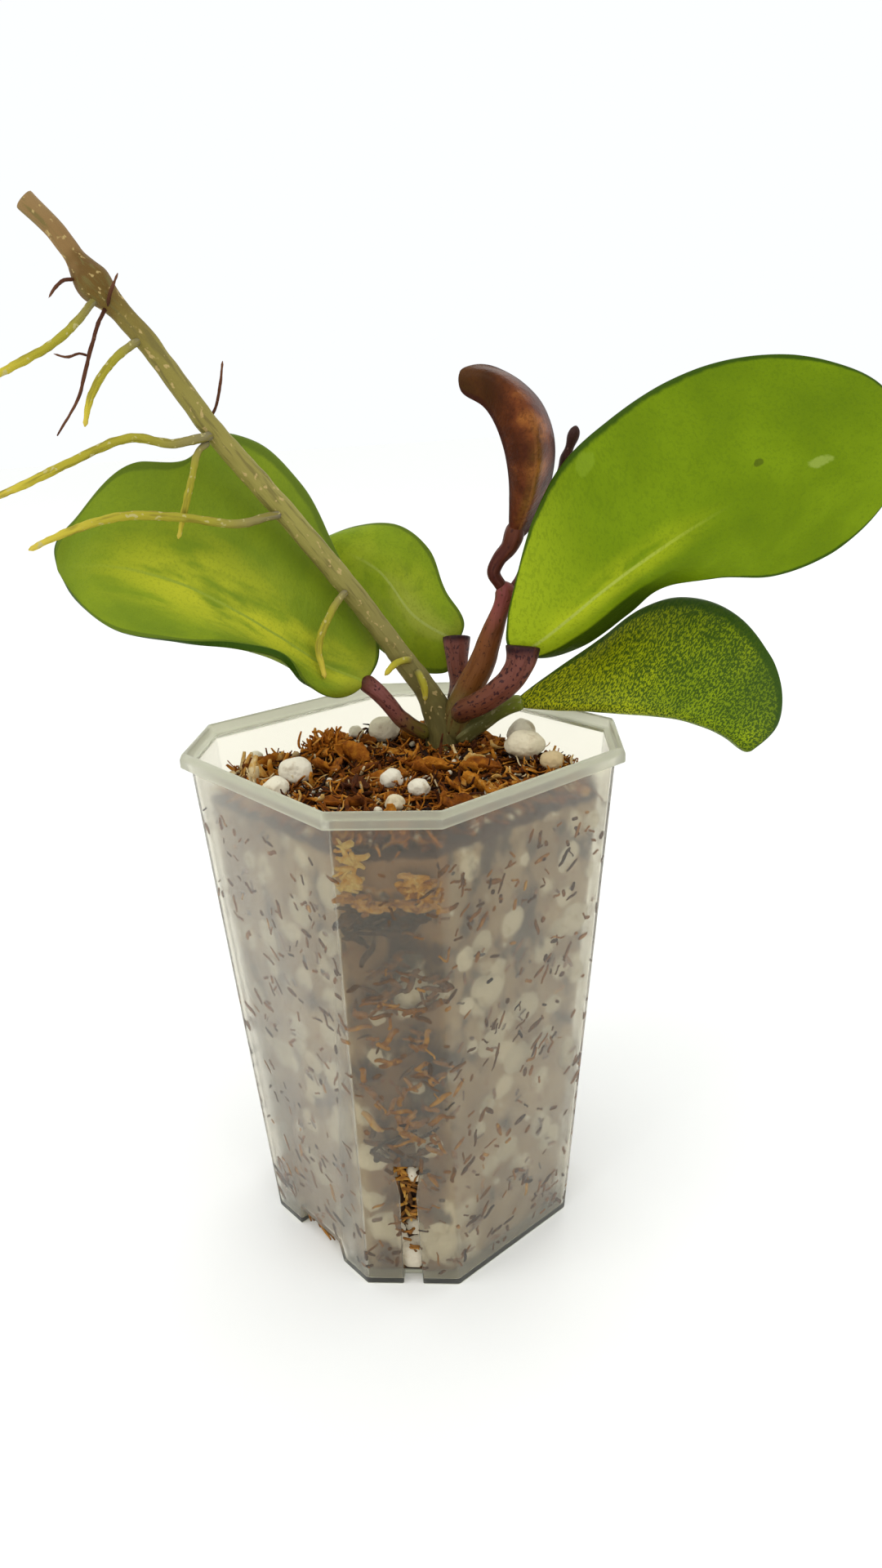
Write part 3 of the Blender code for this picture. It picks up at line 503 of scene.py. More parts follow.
def leaf_finish(name, look, side):
    """Thick waxy hoya blade: a satin cuticle over streaky green, with a fine dark margin, a painted
    highlight along the midrib's crease and painted shade on a turned-away fold.
    """
    material, tree, shader = start_finish(name, Roughness=look["roughness"], IOR=1.45,
                                          Specular_IOR_Level=look["gloss"])
    blade = add_node(tree, "Attribute", attribute_name="blade").outputs["Vector"]
    lay = add_node(tree, "Attribute", attribute_name="lay").outputs["Vector"]
    parts = add_node(tree, "SeparateXYZ", {"Vector": blade})
    along, across, margin = (parts.outputs[axis] for axis in "XYZ")
    off_rib = add_node(tree, "Math", {0: across}, operation="ABSOLUTE")
    rib_line = add_node(tree, "Math", {0: add_node(tree, "SeparateXYZ", {"Vector": lay}).outputs[
        "Y"]}, operation="ABSOLUTE")
    drawn = add_node(tree, "Mapping", {"Vector": lay, "Scale": (0.28, 1.0, 1.0)})
    cloud = add_node(tree, "TexNoise", {"Vector": lay, "Scale": per(look["cloud"]), "Detail": 4.0})
    streak = add_node(tree, "TexNoise", {"Vector": drawn, "Scale": per(4.5), "Detail": 5.0,
                                         "Distortion": 0.2})
    patch = add_node(tree, "TexNoise", {"Vector": lay, "Scale": per(3.0), "Detail": 5.0,
                                        "Roughness": 0.62})
    speck = add_node(tree, "TexNoise", {"Vector": lay, "Scale": per(look["speck"]),
                                        "Detail": 2.0, "Roughness": 0.7})
    base = add_node(tree, "ValToRGB", {"Fac": cloud}, stops=[
        (0.34, look["dark"]), (0.52, look["base"]), (0.68, look["light"])])
    mottled = add_node(tree, "MapRange", band(patch, 0.48, 0.66, look["mottle"]), **SMOOTH)
    upper = add_node(tree, "MapRange", band(across, 0.1, 0.9, look["upper"]), **SMOOTH)
    dense = add_node(tree, "MapRange", {"Value": across, "From Min": -0.9, "From Max": 0.5,
                                        "To Min": -0.04, "To Max": 0.03})
    clumped = add_node(tree, "Math", {0: patch, 1: look["clump"], 2: dense},
                       operation="MULTIPLY_ADD")
    specky = add_node(tree, "Math", {0: speck, 1: clumped}, operation="ADD")
    speckled = add_node(tree, "MapRange", band(specky, look["sparse"], look["sparse"] + 0.04,
                                               look["specks"]), **SMOOTH)
    zone = add_node(tree, "MapRange", band(off_rib, look["rib"], 0.0), **SMOOTH)
    streaky = add_node(tree, "MapRange", band(streak, 0.34, 0.60), **SMOOTH)
    lit = add_node(tree, "MapRange", band(along, look["glow_end"] + 0.2, look["glow_end"] - 0.2,
                                          look["glow"]), **SMOOTH)
    glowing = add_node(tree, "Math", {0: zone, 1: streaky}, operation="MULTIPLY")
    rib = add_node(tree, "Math", {0: glowing, 1: lit}, operation="MULTIPLY")
    # Painted highlight: a pale line on the midrib's crease, in the look's crease colour, stands in
    # for the ridge catching the light.
    crease_line = add_node(tree, "MapRange", band(rib_line, 0.45 * MM, 0.15 * MM), **SMOOTH)
    crease = add_node(tree, "Math", {0: crease_line, 1: lit}, operation="MULTIPLY")
    edge_noise = add_node(tree, "Math", {0: patch, 1: 0.8, 2: margin}, operation="MULTIPLY_ADD")
    edge = add_node(tree, "MapRange", band(edge_noise, look["edge"] + 1.0, look["edge"] + 0.4,
                                           0.9), **SMOOTH)
    tip = add_node(tree, "MapRange", band(along, look["tip"], 1.0, 0.8), **SMOOTH)
    foot = add_node(tree, "MapRange", band(along, look["foot"], 0.0, 0.8), **SMOOTH)
    # Painted shade: the blade's lower half near the stalk, where it folds back away from the light,
    # is darkened with the fold's shade colour.
    turned = add_node(tree, "MapRange", band(across, look["fold_line"] + 0.05,
                                             look["fold_line"] - 0.05), **SMOOTH)
    near_foot = add_node(tree, "MapRange", band(along, 0.47, 0.26, look["fold"]), **SMOOTH)
    folded = add_node(tree, "Math", {0: turned, 1: near_foot}, operation="MULTIPLY")
    shade = layered(tree, base, (mottled, look["patch"]), (upper, look["upper_shade"]),
                    (rib, look["rib_shade"]), (tip, look["tip_shade"]),
                    (foot, look["foot_shade"]), (crease, look["crease_highlight"]),
                    (folded, look["fold_painted_shade"]), (speckled, look["speck_shade"]),
                    (edge, look["margin"]))
    for x, y, length, mark_shade in look["marks"]:
        near = add_node(tree, "Mapping", {"Vector": lay, "Scale": (1 / length, 1.8 / length, 0),
                                          "Location": (-x / length * MM, -1.8 * y / length * MM, 0)})
        reach = add_node(tree, "VectorMath", {0: near}, operation="LENGTH").outputs["Value"]
        rough = add_node(tree, "Math", {0: patch, 1: 1.2 * MM, 2: reach}, operation="MULTIPLY_ADD")
        mark = add_node(tree, "MapRange", band(rough, 1.25 * MM, 1.0 * MM, 0.6), **SMOOTH)
        shade = layered(tree, shade, (mark, mark_shade))
    if side == "back":
        shade = layered(tree, shade, (0.4, look["under"]))
    if side == "rim":
        shade = layered(tree, shade, (0.75, look["margin"]))
    relief = add_node(tree, "Math", {0: speck, 1: 0.3, 2: patch}, operation="MULTIPLY_ADD")
    connect(tree, shader, shade, relief, 0.35)
    return material


LEAF_LOOK = {
    "base": "#788c06", "light": "#889a0c", "dark": "#6a8006", "patch": "#647a06", "mottle": 0.4,
    "upper": 0.0, "upper_shade": "#5e780a", "speck": 0.6, "specks": 0.25, "sparse": 0.56,
    "speck_shade": "#506808", "rib": 0.16, "glow": 0.6, "glow_end": 0.6,
    # The crease colour is a painted highlight along the midrib.
    "rib_shade": "#b4b81c", "crease_highlight": "#aab038", "edge": 1.0, "margin": "#2c4606",
    "tip": 0.95, "tip_shade": "#5c6c0a", "foot": 0.10, "foot_shade": "#86861c",
    "under": "#7c8e2c", "roughness": 0.42, "gloss": 0.08, "cloud": 15.0, "clump": 0.0,
    # fold and fold_line place painted shade on a blade's turned-away lower half near its stalk.
    "marks": [], "fold": 0.0, "fold_line": -0.5, "fold_painted_shade": "#263a06",
}
LEAF_LOOKS = {
    "leaf_left": dict(LEAF_LOOK, glow=1.0, edge=1.2, rib=0.6, rib_shade="#c8c424", glow_end=0.82,
                      base="#72860a", light="#82940a", dark="#5e7606", upper=0.3,
                      crease_highlight="#94a030"),
    "leaf_back": dict(LEAF_LOOK, base="#889e08", light="#a0ae1c", dark="#78920a", glow=0.85,
                      rib=0.5, crease_highlight="#c0c66c", rib_shade="#b2b648"),
    "leaf_right": dict(LEAF_LOOK, base="#667e06", light="#70880a", dark="#5e7606",
                       rib_shade="#b0ba1c", glow=0.9, rib=0.26, glow_end=0.42, foot=0.34,
                       foot_shade="#a0b21c", fold=0.95, fold_line=-0.36, crease_highlight="#a8b44a",
                       mottle=0.3, edge=0.6,
                       marks=[(60, 4.5, 1.7, "#3a430c"), (71, 0.5, 3.6, "#95a54a"),
                              (29, 15, 4.0, "#7c9420")]),
    "leaf_low": dict(LEAF_LOOK, base="#7c900a", light="#a2b00a", dark="#647a08", specks=0.9,
                     speck=0.34, sparse=0.56, clump=0.14, edge=0.7,
                     speck_shade="#2e460a", glow=0.5, foot=0.75, foot_shade="#bcbc08",
                     mottle=0.35, patch="#50680a", upper=0.5,
                     upper_shade="#3a540a", roughness=0.38, gloss=0.12),
    "leaf_young": dict(LEAF_LOOK, base="#6a361a", light="#a0622c", dark="#401c0e", cloud=7.0,
                       patch="#451e0e", mottle=0.6, speck_shade="#3c1c0e", specks=0.35,
                       rib_shade="#7a6020", glow=0.5, glow_end=0.5, rib=0.5, margin="#38180e",
                       tip=0.60, tip_shade="#3a260a", foot=0.25, foot_shade="#44180e",
                       under="#5c2c18", upper=0.6, upper_shade="#44200f", edge=0.5,
                       crease_highlight="#8a5a30", roughness=0.36),
}


# ---- shapes ----

def clamp(value, low, high):
    return max(low, min(high, value))


def pot_place(x, y, z):
    """A place given in millimetres from the foot of the pot's axis."""
    return POT_AXIS + Vector((x, y, z)) * MM


def plant_place(point):
    """A place given in millimetres in the plant's frame."""
    return POT_AXIS + PLANT_TURN @ Vector(point[:3]) * MM


def curve_through(points):
    """A smooth curve through points: a function of t, 0 at the first point and 1 at the last."""
    knots_at = np.array(points, dtype=float)
    steps = np.linalg.norm(np.diff(knots_at[:, :3], axis=0), axis=1)
    knots = np.concatenate([[0.0], np.cumsum(steps)]) / steps.sum()
    slopes = np.gradient(knots_at, knots, axis=0)

    def at(t):
        index = int(np.clip(np.searchsorted(knots, t, side="right") - 1, 0, len(knots) - 2))
        span = knots[index + 1] - knots[index]
        u = (t - knots[index]) / span
        return ((1 + 2 * u) * (1 - u) ** 2 * knots_at[index]
                + u * (1 - u) ** 2 * span * slopes[index]
                + u * u * (3 - 2 * u) * knots_at[index + 1]
                + u * u * (u - 1) * span * slopes[index + 1])

    return at


def wall_at(angle, z, inset):
    """How far the pot's wall is from its axis in a direction, in mm, and which side it is on."""
    share = z / NECK_HEIGHT
    half = BASE_HALF + (NECK_HALF - BASE_HALF) * share
    leg = BASE_LEG + (NECK_LEG - BASE_LEG) * share
    to_cut = math.sqrt(0.5) * (2 * half - leg)
    reaches = []
    for side in range(8):
        facing = math.cos(angle - math.radians(45 * side))
        if facing > 0.3:
            reaches.append((((to_cut if side % 2 else half) - inset) / facing, side))
    return min(reaches)


def mix_height(x, y):
    """Height of the mix's lumpy top at a place in the pot's frame, mm."""
    broad = noise.noise(Vector((x, y, 0)) / MIX_LUMP_PITCH)
    return MIX_TOP + MIX_LUMP * broad


def add_piece(name, bm, finishes, nodes=()):
    """Make a finished piece of a bmesh: it rides with the pot and stands for some CAD nodes."""
    mesh = bpy.data.meshes.new(name)
    bm.to_mesh(mesh)
    bm.free()
    mesh.shade_smooth()
    for material in finishes:
        mesh.materials.append(material)
    piece = bpy.data.objects.new(name, mesh)
    bpy.context.scene.collection.objects.link(piece)
    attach(piece, BODY)
    if nodes:
        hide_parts(*nodes)
    return piece


def subdivide(piece):
    """Finish a piece with a live Subdivision Surface."""
    smooth = piece.modifiers.new("smooth", "SUBSURF")
    smooth.levels = 1
    smooth.render_levels = 1


def stem_body(points, relief, sides, step, rounded):
    """A straight rod of rings, bent along a smooth curve; relief gives its lumps in mm."""
    path = curve_through(points)
    length = sum((Vector(b[:3]) - Vector(a[:3])).length for a, b in zip(points, points[1:]))
    rings = max(8, round(length / step))
    bm = bmesh.new()
    bmesh.ops.create_cone(bm, cap_ends=True, segments=sides, radius1=1, radius2=1, depth=2)
    upright = [edge for edge in bm.edges if abs(edge.verts[0].co.z - edge.verts[1].co.z) > 1]
    bmesh.ops.subdivide_edges(bm, edges=upright, cuts=rings - 1)
    samples = [Vector(path(index / rings)[:3]) for index in range(rings + 1)]
    tangents = [(samples[min(index + 1, rings)] - samples[max(index - 1, 0)]).normalized()
                for index in range(rings + 1)]
    normal = tangents[0].orthogonal().normalized()
    frames = []
    for tangent in tangents:
        normal = (normal - tangent * normal.dot(tangent)).normalized()
        frames.append((normal, tangent.cross(normal)))
    grain = bm.verts.layers.float_vector.new("grain")
    share = bm.verts.layers.float.new("share")
    for vert in bm.verts:
        t = (vert.co.z + 1) / 2
        index = round(t * rings)
        angle = math.atan2(vert.co.y, vert.co.x)
        along = t * length
        radius = path(t)[3]
        if rounded:
            left = min(along, length - along)
            if left < radius:
                radius *= max(0.25, math.sqrt(1 - (1 - left / radius) ** 2))
        around = Vector((math.cos(angle), math.sin(angle), 0))
        vert[grain] = Vector((around.x * radius, around.y * radius, along)) * MM
        vert[share] = t
        radius += relief(around * radius, along)
        outward = frames[index][0] * around.x + frames[index][1] * around.y
        vert.co = plant_place(samples[index] + outward * radius)
    bmesh.ops.recalc_face_normals(bm, faces=bm.faces)
    return bm


def blade_body(crease, midrib_points, upper_points, lower_points, seed, ripple):
    """A leaf blade between a midrib and two edges, from a square grid rounded to a disc."""
    midrib = curve_through(midrib_points)
    upper = curve_through(upper_points)
    lower = curve_through(lower_points)
    bm = bmesh.new()
    length = sum((Vector(b) - Vector(a)).length for a, b in zip(midrib_points, midrib_points[1:]))
    blade = bm.verts.layers.float_vector.new("blade")
    lay = bm.verts.layers.float_vector.new("lay")
    bmesh.ops.create_grid(bm, x_segments=72, y_segments=44, size=1.0)
    for vert in bm.verts:
        a, b = vert.co.x, vert.co.y
        along = a * math.sqrt(1 - b * b / 2)
        across = b * math.sqrt(1 - a * a / 2)
        angle = math.acos(clamp(-along, -1.0, 1.0))
        reach = math.sqrt(max(0.0, 1 - along * along))
        side = clamp(across / reach if reach > 1e-6 else 0.0, -1.0, 1.0)
        centre = midrib((1 - math.cos(angle)) / 2)
        first = upper(angle / math.pi)
        second = lower(angle / math.pi)
        fold = (math.sqrt(side * side + crease * crease) - crease)
        fold /= math.sqrt(1 + crease * crease) - crease
        point = centre + side * (first - second) / 2 + fold * ((first + second) / 2 - centre)
        half_width = float(np.linalg.norm(first - second)) / 2
        reached = (1 - math.cos(angle)) / 2
        vert[blade] = Vector((reached, side, (1 - abs(side)) * half_width))
        vert[lay] = Vector((reached * length, side * half_width, seed * 40)) * MM
        vert.co = plant_place(point)
    bm.normal_update()
    for vert in bm.verts:
        margin = vert[blade].z
        spread = min(1.0, margin / 6.0)
        swell = noise.noise(vert.co / (14 * MM) + Vector((seed * 5.1, 0, 0))) * ripple
        swell += noise.noise(vert.co / (5 * MM) + Vector((0, seed * 3.7, 0))) * ripple * 0.3
        vert.co += vert.normal * swell * (0.35 + 0.65 * spread) * MM
    return bm


# ---- operators ----

class HOYA_OT_stage(bpy.types.Operator):
    """Lay the pale floor, light it softly, and set the camera"""
    bl_idname = "hoya.stage"
    bl_label = "Stage"

    def execute(self, context):
        settings = context.scene.hoya_stage
        bm = bmesh.new()
        bmesh.ops.create_grid(bm, x_segments=2, y_segments=2, size=settings.floor_size / 2)
        mesh = bpy.data.meshes.new("floor")
        bm.to_mesh(mesh)
        bm.free()
        floor = bpy.data.objects.new("floor", mesh)
        context.scene.collection.objects.link(floor)
        material, tree, shader = start_finish("matt_white_paper", Roughness=0.9,
                                              Base_Color=(*settings.floor_colour, 1.0))
        place = add_node(tree, "TexCoord").outputs["Object"]
        fibre = add_node(tree, "TexNoise", {"Vector": place, "Scale": per(1.2), "Detail": 4.0})
        emboss(tree, shader, fibre, 0.02)
        mesh.materials.append(material)
        world = bpy.data.worlds.new("soft_room")
        world.use_nodes = True
        sky = world.node_tree.nodes["Background"]
        sky.inputs["Color"].default_value = linear("#fbfdff")
        sky.inputs["Strength"].default_value = settings.room_light
        context.scene.world = world
        for name, place, size, power in LIGHTS:
            light = bpy.data.lights.new(name, "AREA")
            light.shape = "DISK"
            light.size = size
            light.energy = power * settings.lamp_power
            lamp = bpy.data.objects.new(name, light)
            context.scene.collection.objects.link(lamp)
            lamp.location = Vector(place)
            aim = Vector((0, 0, 0.11)) - lamp.location
            lamp.rotation_euler = aim.to_track_quat("-Z", "Y").to_euler()
        data = bpy.data.cameras.new("camera")
        data.sensor_fit = "VERTICAL"
        data.sensor_height = 36.0
        data.lens = CAMERA_LENS
        data.clip_start = 0.01
        camera = bpy.data.objects.new("camera", data)
        context.scene.collection.objects.link(camera)
        camera.location = pot_place(*CAMERA_PLACE)
        camera.rotation_euler = Euler([math.radians(angle) for angle in CAMERA_TURN])
        context.scene.camera = camera
        context.scene.view_settings.view_transform = "Standard"
        return {"FINISHED"}


class HoyaStage(bpy.types.PropertyGroup):
    floor_size: bpy.props.FloatProperty(name="Floor size", description="Width of the floor",
                                        default=8.0, subtype="DISTANCE")
    floor_colour: bpy.props.FloatVectorProperty(
        name="Floor colour", description="Colour of the paper floor", size=3, min=0, max=1,
        subtype="COLOR", default=linear("#fffffb")[:3])
    room_light: bpy.props.FloatProperty(name="Room light", description="Strength of the sky",
                                        default=1.02, min=0)
    lamp_power: bpy.props.FloatProperty(name="Lamp power", description="Power of the key lamp",
                                        default=4.0, min=0, subtype="POWER")


class HoyaPot(bpy.types.PropertyGroup):
    plastic: bpy.props.FloatVectorProperty(
        name="Plastic", description="Colour of the pot's milky plastic", size=3, min=0, max=1,
        subtype="COLOR", default=linear("#f2eee0")[:3])
    thick_plastic: bpy.props.FloatVectorProperty(
        name="Thick plastic", description="Colour of the plastic where it is thick", size=3,
        min=0, max=1, subtype="COLOR", default=linear("#dcdbc6")[:3])
    rim_clearness: bpy.props.FloatProperty(
        name="Rim clearness", description="Share of the light that goes through the rim",
        default=0.72, min=0, max=1, subtype="FACTOR")
    foot_clearness: bpy.props.FloatProperty(
        name="Foot clearness", description="Share of the light that goes through the foot",
        default=0.35, min=0, max=1, subtype="FACTOR")
    clearness: bpy.props.FloatProperty(
        name="Clearness", description="Share of the light that goes through the plastic",
        default=0.96, min=0, max=1, subtype="FACTOR")
    bend: bpy.props.FloatProperty(
        name="Refraction", description="Index of refraction of the plastic", default=1.25, min=1)
    wall_frost: bpy.props.FloatProperty(
        name="Wall frost", description="Roughness of the wall", default=0.24,
        min=0, max=1, subtype="FACTOR")
    rim_frost: bpy.props.FloatProperty(
        name="Rim frost", description="Roughness of the thick rim", default=0.35,
        min=0, max=1, subtype="FACTOR")
    edge_round: bpy.props.FloatProperty(
        name="Edge rounding", description="Radius of the pot's moulded edges",
        default=0.35 * MM, subtype="DISTANCE")


class HoyaMix(bpy.types.PropertyGroup):
    shreds: bpy.props.IntProperty(name="Shreds", description="Husk shreds on the mix",
                                  default=1500, min=0)
    crumbs: bpy.props.IntProperty(name="Crumbs", description="Bark crumbs on the mix",
                                  default=420, min=0)
    fines: bpy.props.IntProperty(name="Perlite fines", description="Small perlite grains",
                                 default=150, min=0)
    flakes: bpy.props.IntProperty(name="Flakes", description="Curled husk flakes on the mix",
                                  default=40, min=0)
    flecks: bpy.props.IntProperty(name="Wall flecks", description="Shreds against the wall",
                                  default=3000, min=0)
    wall_grains: bpy.props.IntProperty(name="Wall grains", default=260, min=0,
                                       description="Perlite grains against the wall")
    seed: bpy.props.IntProperty(name="Seed", description="Seed of every scatter", default=7)


class HoyaPlant(bpy.types.PropertyGroup):
    blade: bpy.props.FloatProperty(name="Blade thickness", description="Thickness of a leaf",
                                   default=1.6 * MM, subtype="DISTANCE")
    young_blade: bpy.props.FloatProperty(
        name="Young blade thickness", description="Thickness of the young leaf",
        default=1.2 * MM, subtype="DISTANCE")
    ripple: bpy.props.FloatProperty(name="Ripple", description="Height of a leaf's ripples, mm",
                                    default=0.55, min=0)


class HOYA_OT_pot(bpy.types.Operator):
    """Round the moulded edges of the clear square pot and give it its milky plastic"""
    bl_idname = "hoya.pot"
    bl_label = "Pot"

    def execute(self, context):
        settings = context.scene.hoya_pot
        bm = bmesh.new()
        bm.from_mesh(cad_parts["pot"].data)
        bmesh.ops.remove_doubles(bm, verts=bm.verts, dist=0.005 * MM)
        bmesh.ops.dissolve_limit(bm, angle_limit=math.radians(1.0), verts=bm.verts,
                                 edges=bm.edges)
        sharp = [edge for edge in bm.edges
                 if edge.is_manifold and edge.calc_face_angle() > math.radians(20)]
        bmesh.ops.bevel(bm, geom=sharp, offset=settings.edge_round, affect="EDGES", segments=2,
                        profile=0.5, material=-1, clamp_overlap=True)
        bmesh.ops.recalc_face_normals(bm, faces=bm.faces)
        rim_foot = POT_HIGH.z - RIM_DEPTH * MM
        for face in bm.faces:
            height = face.calc_center_median().z
            face.material_index = 1 if height > rim_foot else 2 if height < FOOT_HEIGHT * MM else 0
        finishes = [
            polypropylene_finish("clear_polypropylene_wall", settings, settings.wall_frost,
                                 settings.plastic, settings.clearness),
            polypropylene_finish("milky_polypropylene_rim", settings, settings.rim_frost,
                                 settings.thick_plastic, settings.rim_clearness),
            polypropylene_finish("milky_polypropylene_foot", settings, settings.rim_frost,
                                 settings.thick_plastic, settings.foot_clearness)]
        piece = add_piece("pot_shell", bm, finishes, ["pot"])
        piece.data.set_sharp_from_angle(angle=math.radians(40))
        return {"FINISHED"}


def octagon_plate(size, cells):
    """A flat grid cut to the pot's inside, at the height of the mix's top."""
    bm = bmesh.new()
    bmesh.ops.create_grid(bm, x_segments=cells, y_segments=cells, size=size / 2 * MM)
    for side in range(8):
        angle = math.radians(45 * side)
        facing = Vector((math.cos(angle), math.sin(angle), 0))
        reach = wall_at(angle, MIX_TOP, MIX_INSET)[0]
        bmesh.ops.bisect_plane(bm, geom=bm.verts[:] + bm.edges[:] + bm.faces[:],
                               plane_co=facing * reach * MM, plane_no=facing, clear_outer=True)
    bmesh.ops.remove_doubles(bm, verts=bm.verts, dist=0.02 * MM)
    return bm


class HOYA_OT_mix(bpy.types.Operator):
    """Fill the pot with mix: a lumpy top and loose sides that show through the wall"""
    bl_idname = "hoya.mix"
    bl_label = "Potting mix"

    def execute(self, context):
        bm = octagon_plate(2 * NECK_HALF, 84)
        ring = [edge for edge in bm.edges if edge.is_boundary]
        steps = round((MIX_TOP - MIX_FLOOR) / SIDE_STEP)
        levels = {vert: 0 for vert in bm.verts}
        for step in range(1, steps + 1):
            swept = bmesh.ops.extrude_edge_only(bm, edges=ring)
            ring = [item for item in swept["geom"] if isinstance(item, bmesh.types.BMEdge)]
            for item in swept["geom"]:
                if isinstance(item, bmesh.types.BMVert):
                    levels[item] = step
        bmesh.ops.contextual_create(bm, geom=ring)
        for vert in bm.verts:
            x, y = vert.co.x / MM, vert.co.y / MM
            angle = math.atan2(y, x)
            step = levels[vert]
            fine = noise.noise(Vector((x, y, 0)) / 2.2)
            grain = noise.noise(Vector((x, y, 9)) / 1.1)
            top = mix_height(x, y) + 0.9 * fine + 0.4 * grain - 0.6
            if step == 0:
                vert.co = pot_place(x, y, top)
                continue
            z = top + (MIX_FLOOR - top) * step / steps
            lump = noise.noise(Vector((x, y, z)) / 4.0) * 0.2
            reach = wall_at(angle, z, MIX_INSET)[0] + lump
            vert.co = pot_place(math.cos(angle) * reach, math.sin(angle) * reach, z)
        bmesh.ops.recalc_face_normals(bm, faces=bm.faces)
        add_piece("mix_body", bm, [mix_finish()], ["potting_mix"])
        return {"FINISHED"}


def start_heap():
    """An empty body for many small shapes, each with a tone of its own."""
    heap = bmesh.new()
    heap.verts.layers.float.new("tone")
    return heap


def drop(heap, shape, matrix, tone):
    """Set a small shape in place, give it its tone, and add it to a heap."""
    layer = shape.verts.layers.float.new("tone")
    for vert in shape.verts:
        vert[layer] = tone
    bmesh.ops.transform(shape, matrix=matrix, verts=shape.verts)
    mesh = bpy.data.meshes.new("shape")
    shape.to_mesh(mesh)
    shape.free()
    heap.from_mesh(mesh)
    bpy.data.meshes.remove(mesh)


def grain_shape(sizes, seed, subdivisions):
    """A chunky grain: a ball cut by a few flat facets and roughened."""
    draw = random.Random(seed)
    bm = bmesh.new()
    bmesh.ops.create_icosphere(bm, subdivisions=subdivisions, radius=1.0)
    facets = []
    for _ in range(9):
        facing = Vector([draw.gauss(0, 1) for _ in range(3)]).normalized()
        facets.append((facing, draw.uniform(0.80, 0.96)))
    for vert in bm.verts:
        for facing, depth in facets:
            over = vert.co.dot(facing) - depth
            if over > 0:
                vert.co -= facing * over * 0.8
        vert.co *= 1 + 0.09 * noise.noise(vert.co * 1.6 + Vector((seed, 0, 0)))
        vert.co *= 1 + 0.02 * noise.noise(vert.co * 6.0 + Vector((0, seed, 0)))
    reach = [max(abs(vert.co[axis]) for vert in bm.verts) for axis in range(3)]
    stretch = Matrix.Diagonal([size / 2 * MM / far for size, far in zip(sizes, reach)]).to_4x4()
    bmesh.ops.transform(bm, matrix=stretch, verts=bm.verts)
    return bm


def shred_shape(length, width, thickness, curl, wave, segments=6):
    """One flat fibre: a bar of a few faces, curled along its length and narrow at its ends."""
    bm = bmesh.new()
    bottom = bmesh.ops.create_grid(bm, x_segments=segments, y_segments=1, size=0.5)["verts"]
    swept = bmesh.ops.extrude_face_region(bm, geom=bm.faces[:])
    top = [item for item in swept["geom"] if isinstance(item, bmesh.types.BMVert)]
    bmesh.ops.translate(bm, verts=bottom, vec=(0, 0, -0.5))
    bmesh.ops.translate(bm, verts=top, vec=(0, 0, 0.5))
    for vert in bm.verts:
        t = vert.co.x
        taper = max(0.3, 1.0 - 1.4 * t * t - 0.5 * abs(t))
        angle = curl * t
        bow = length / curl if abs(curl) > 0.05 else 0.0
        x = bow * math.sin(angle) if bow else t * length
        z = bow * (1 - math.cos(angle)) if bow else 0.0
        y = vert.co.y * width * taper + wave * math.sin(4.0 * t)
        rise = vert.co.z * thickness
        vert.co = Vector((x - math.sin(angle) * rise, y, z + math.cos(angle) * rise)) * MM
    return bm


def flake_shape(sizes, curl, seed):
    """A curled sheet of husk, rough and torn at its ends."""
    bm = bmesh.new()
    bmesh.ops.create_grid(bm, x_segments=14, y_segments=8, size=1.0)
    for vert in bm.verts:
        u, v = vert.co.x, vert.co.y
        lean = v * curl * (1 - 0.3 * u)
        rough = noise.noise(Vector((u * 2, v * 2, seed * 3.1))) * 0.25
        rough += noise.noise(Vector((u * 7, v * 7, seed * 1.7))) * 0.08
        width = 1 - 0.5 * u * u + 0.2 * noise.noise(Vector((u * 4, seed, 0)))
        vert.co = Vector((u * (1 + 0.25 * noise.noise(Vector((v * 5, seed, 3)))) + rough * 0.3,
                          math.sin(lean) * width, (1 - math.cos(lean)) * 1.5 * width - 0.6 + rough))
    stretch = Matrix.Diagonal([size / 2.3 * MM for size in sizes]).to_4x4()
    bmesh.ops.transform(bm, matrix=stretch, verts=bm.verts)
    bmesh.ops.solidify(bm, geom=bm.faces[:], thickness=0.35 * MM)
    bmesh.ops.recalc_face_normals(bm, faces=bm.faces)
    return bm


def mix_spot(draw, inset):
    """A random place on the mix's top, in the pot's frame, clear of the wall."""
    while True:
        x = draw.uniform(-NECK_HALF, NECK_HALF)
        y = draw.uniform(-NECK_HALF, NECK_HALF)
        if math.hypot(x, y) < wall_at(math.atan2(y, x), MIX_TOP, inset)[0]:
            return x, y


def laid(draw, x, y, lift, tilt):
    """The matrix of a piece that lies on the mix at a place, turned and tilted at random."""
    place = Matrix.Translation(pot_place(x, y, mix_height(x, y) + lift))
    turn = Matrix.Rotation(draw.uniform(0, math.tau), 4, "Z")
    lean = Matrix.Rotation(draw.gauss(0, tilt), 4, "Y") @ Matrix.Rotation(
        draw.gauss(0, tilt * 1.6), 4, "X")
    return place @ turn @ lean


def straw_tone(x, y):
    """How pale the litter is at a place of the mix: straw at the left, rust in the middle."""
    across = PLANT_TURN.inverted() @ Vector((x, y, 0))
    return 0.48 + 0.3 * clamp((-across.x - 18) / 16, 0.0, 1.0)


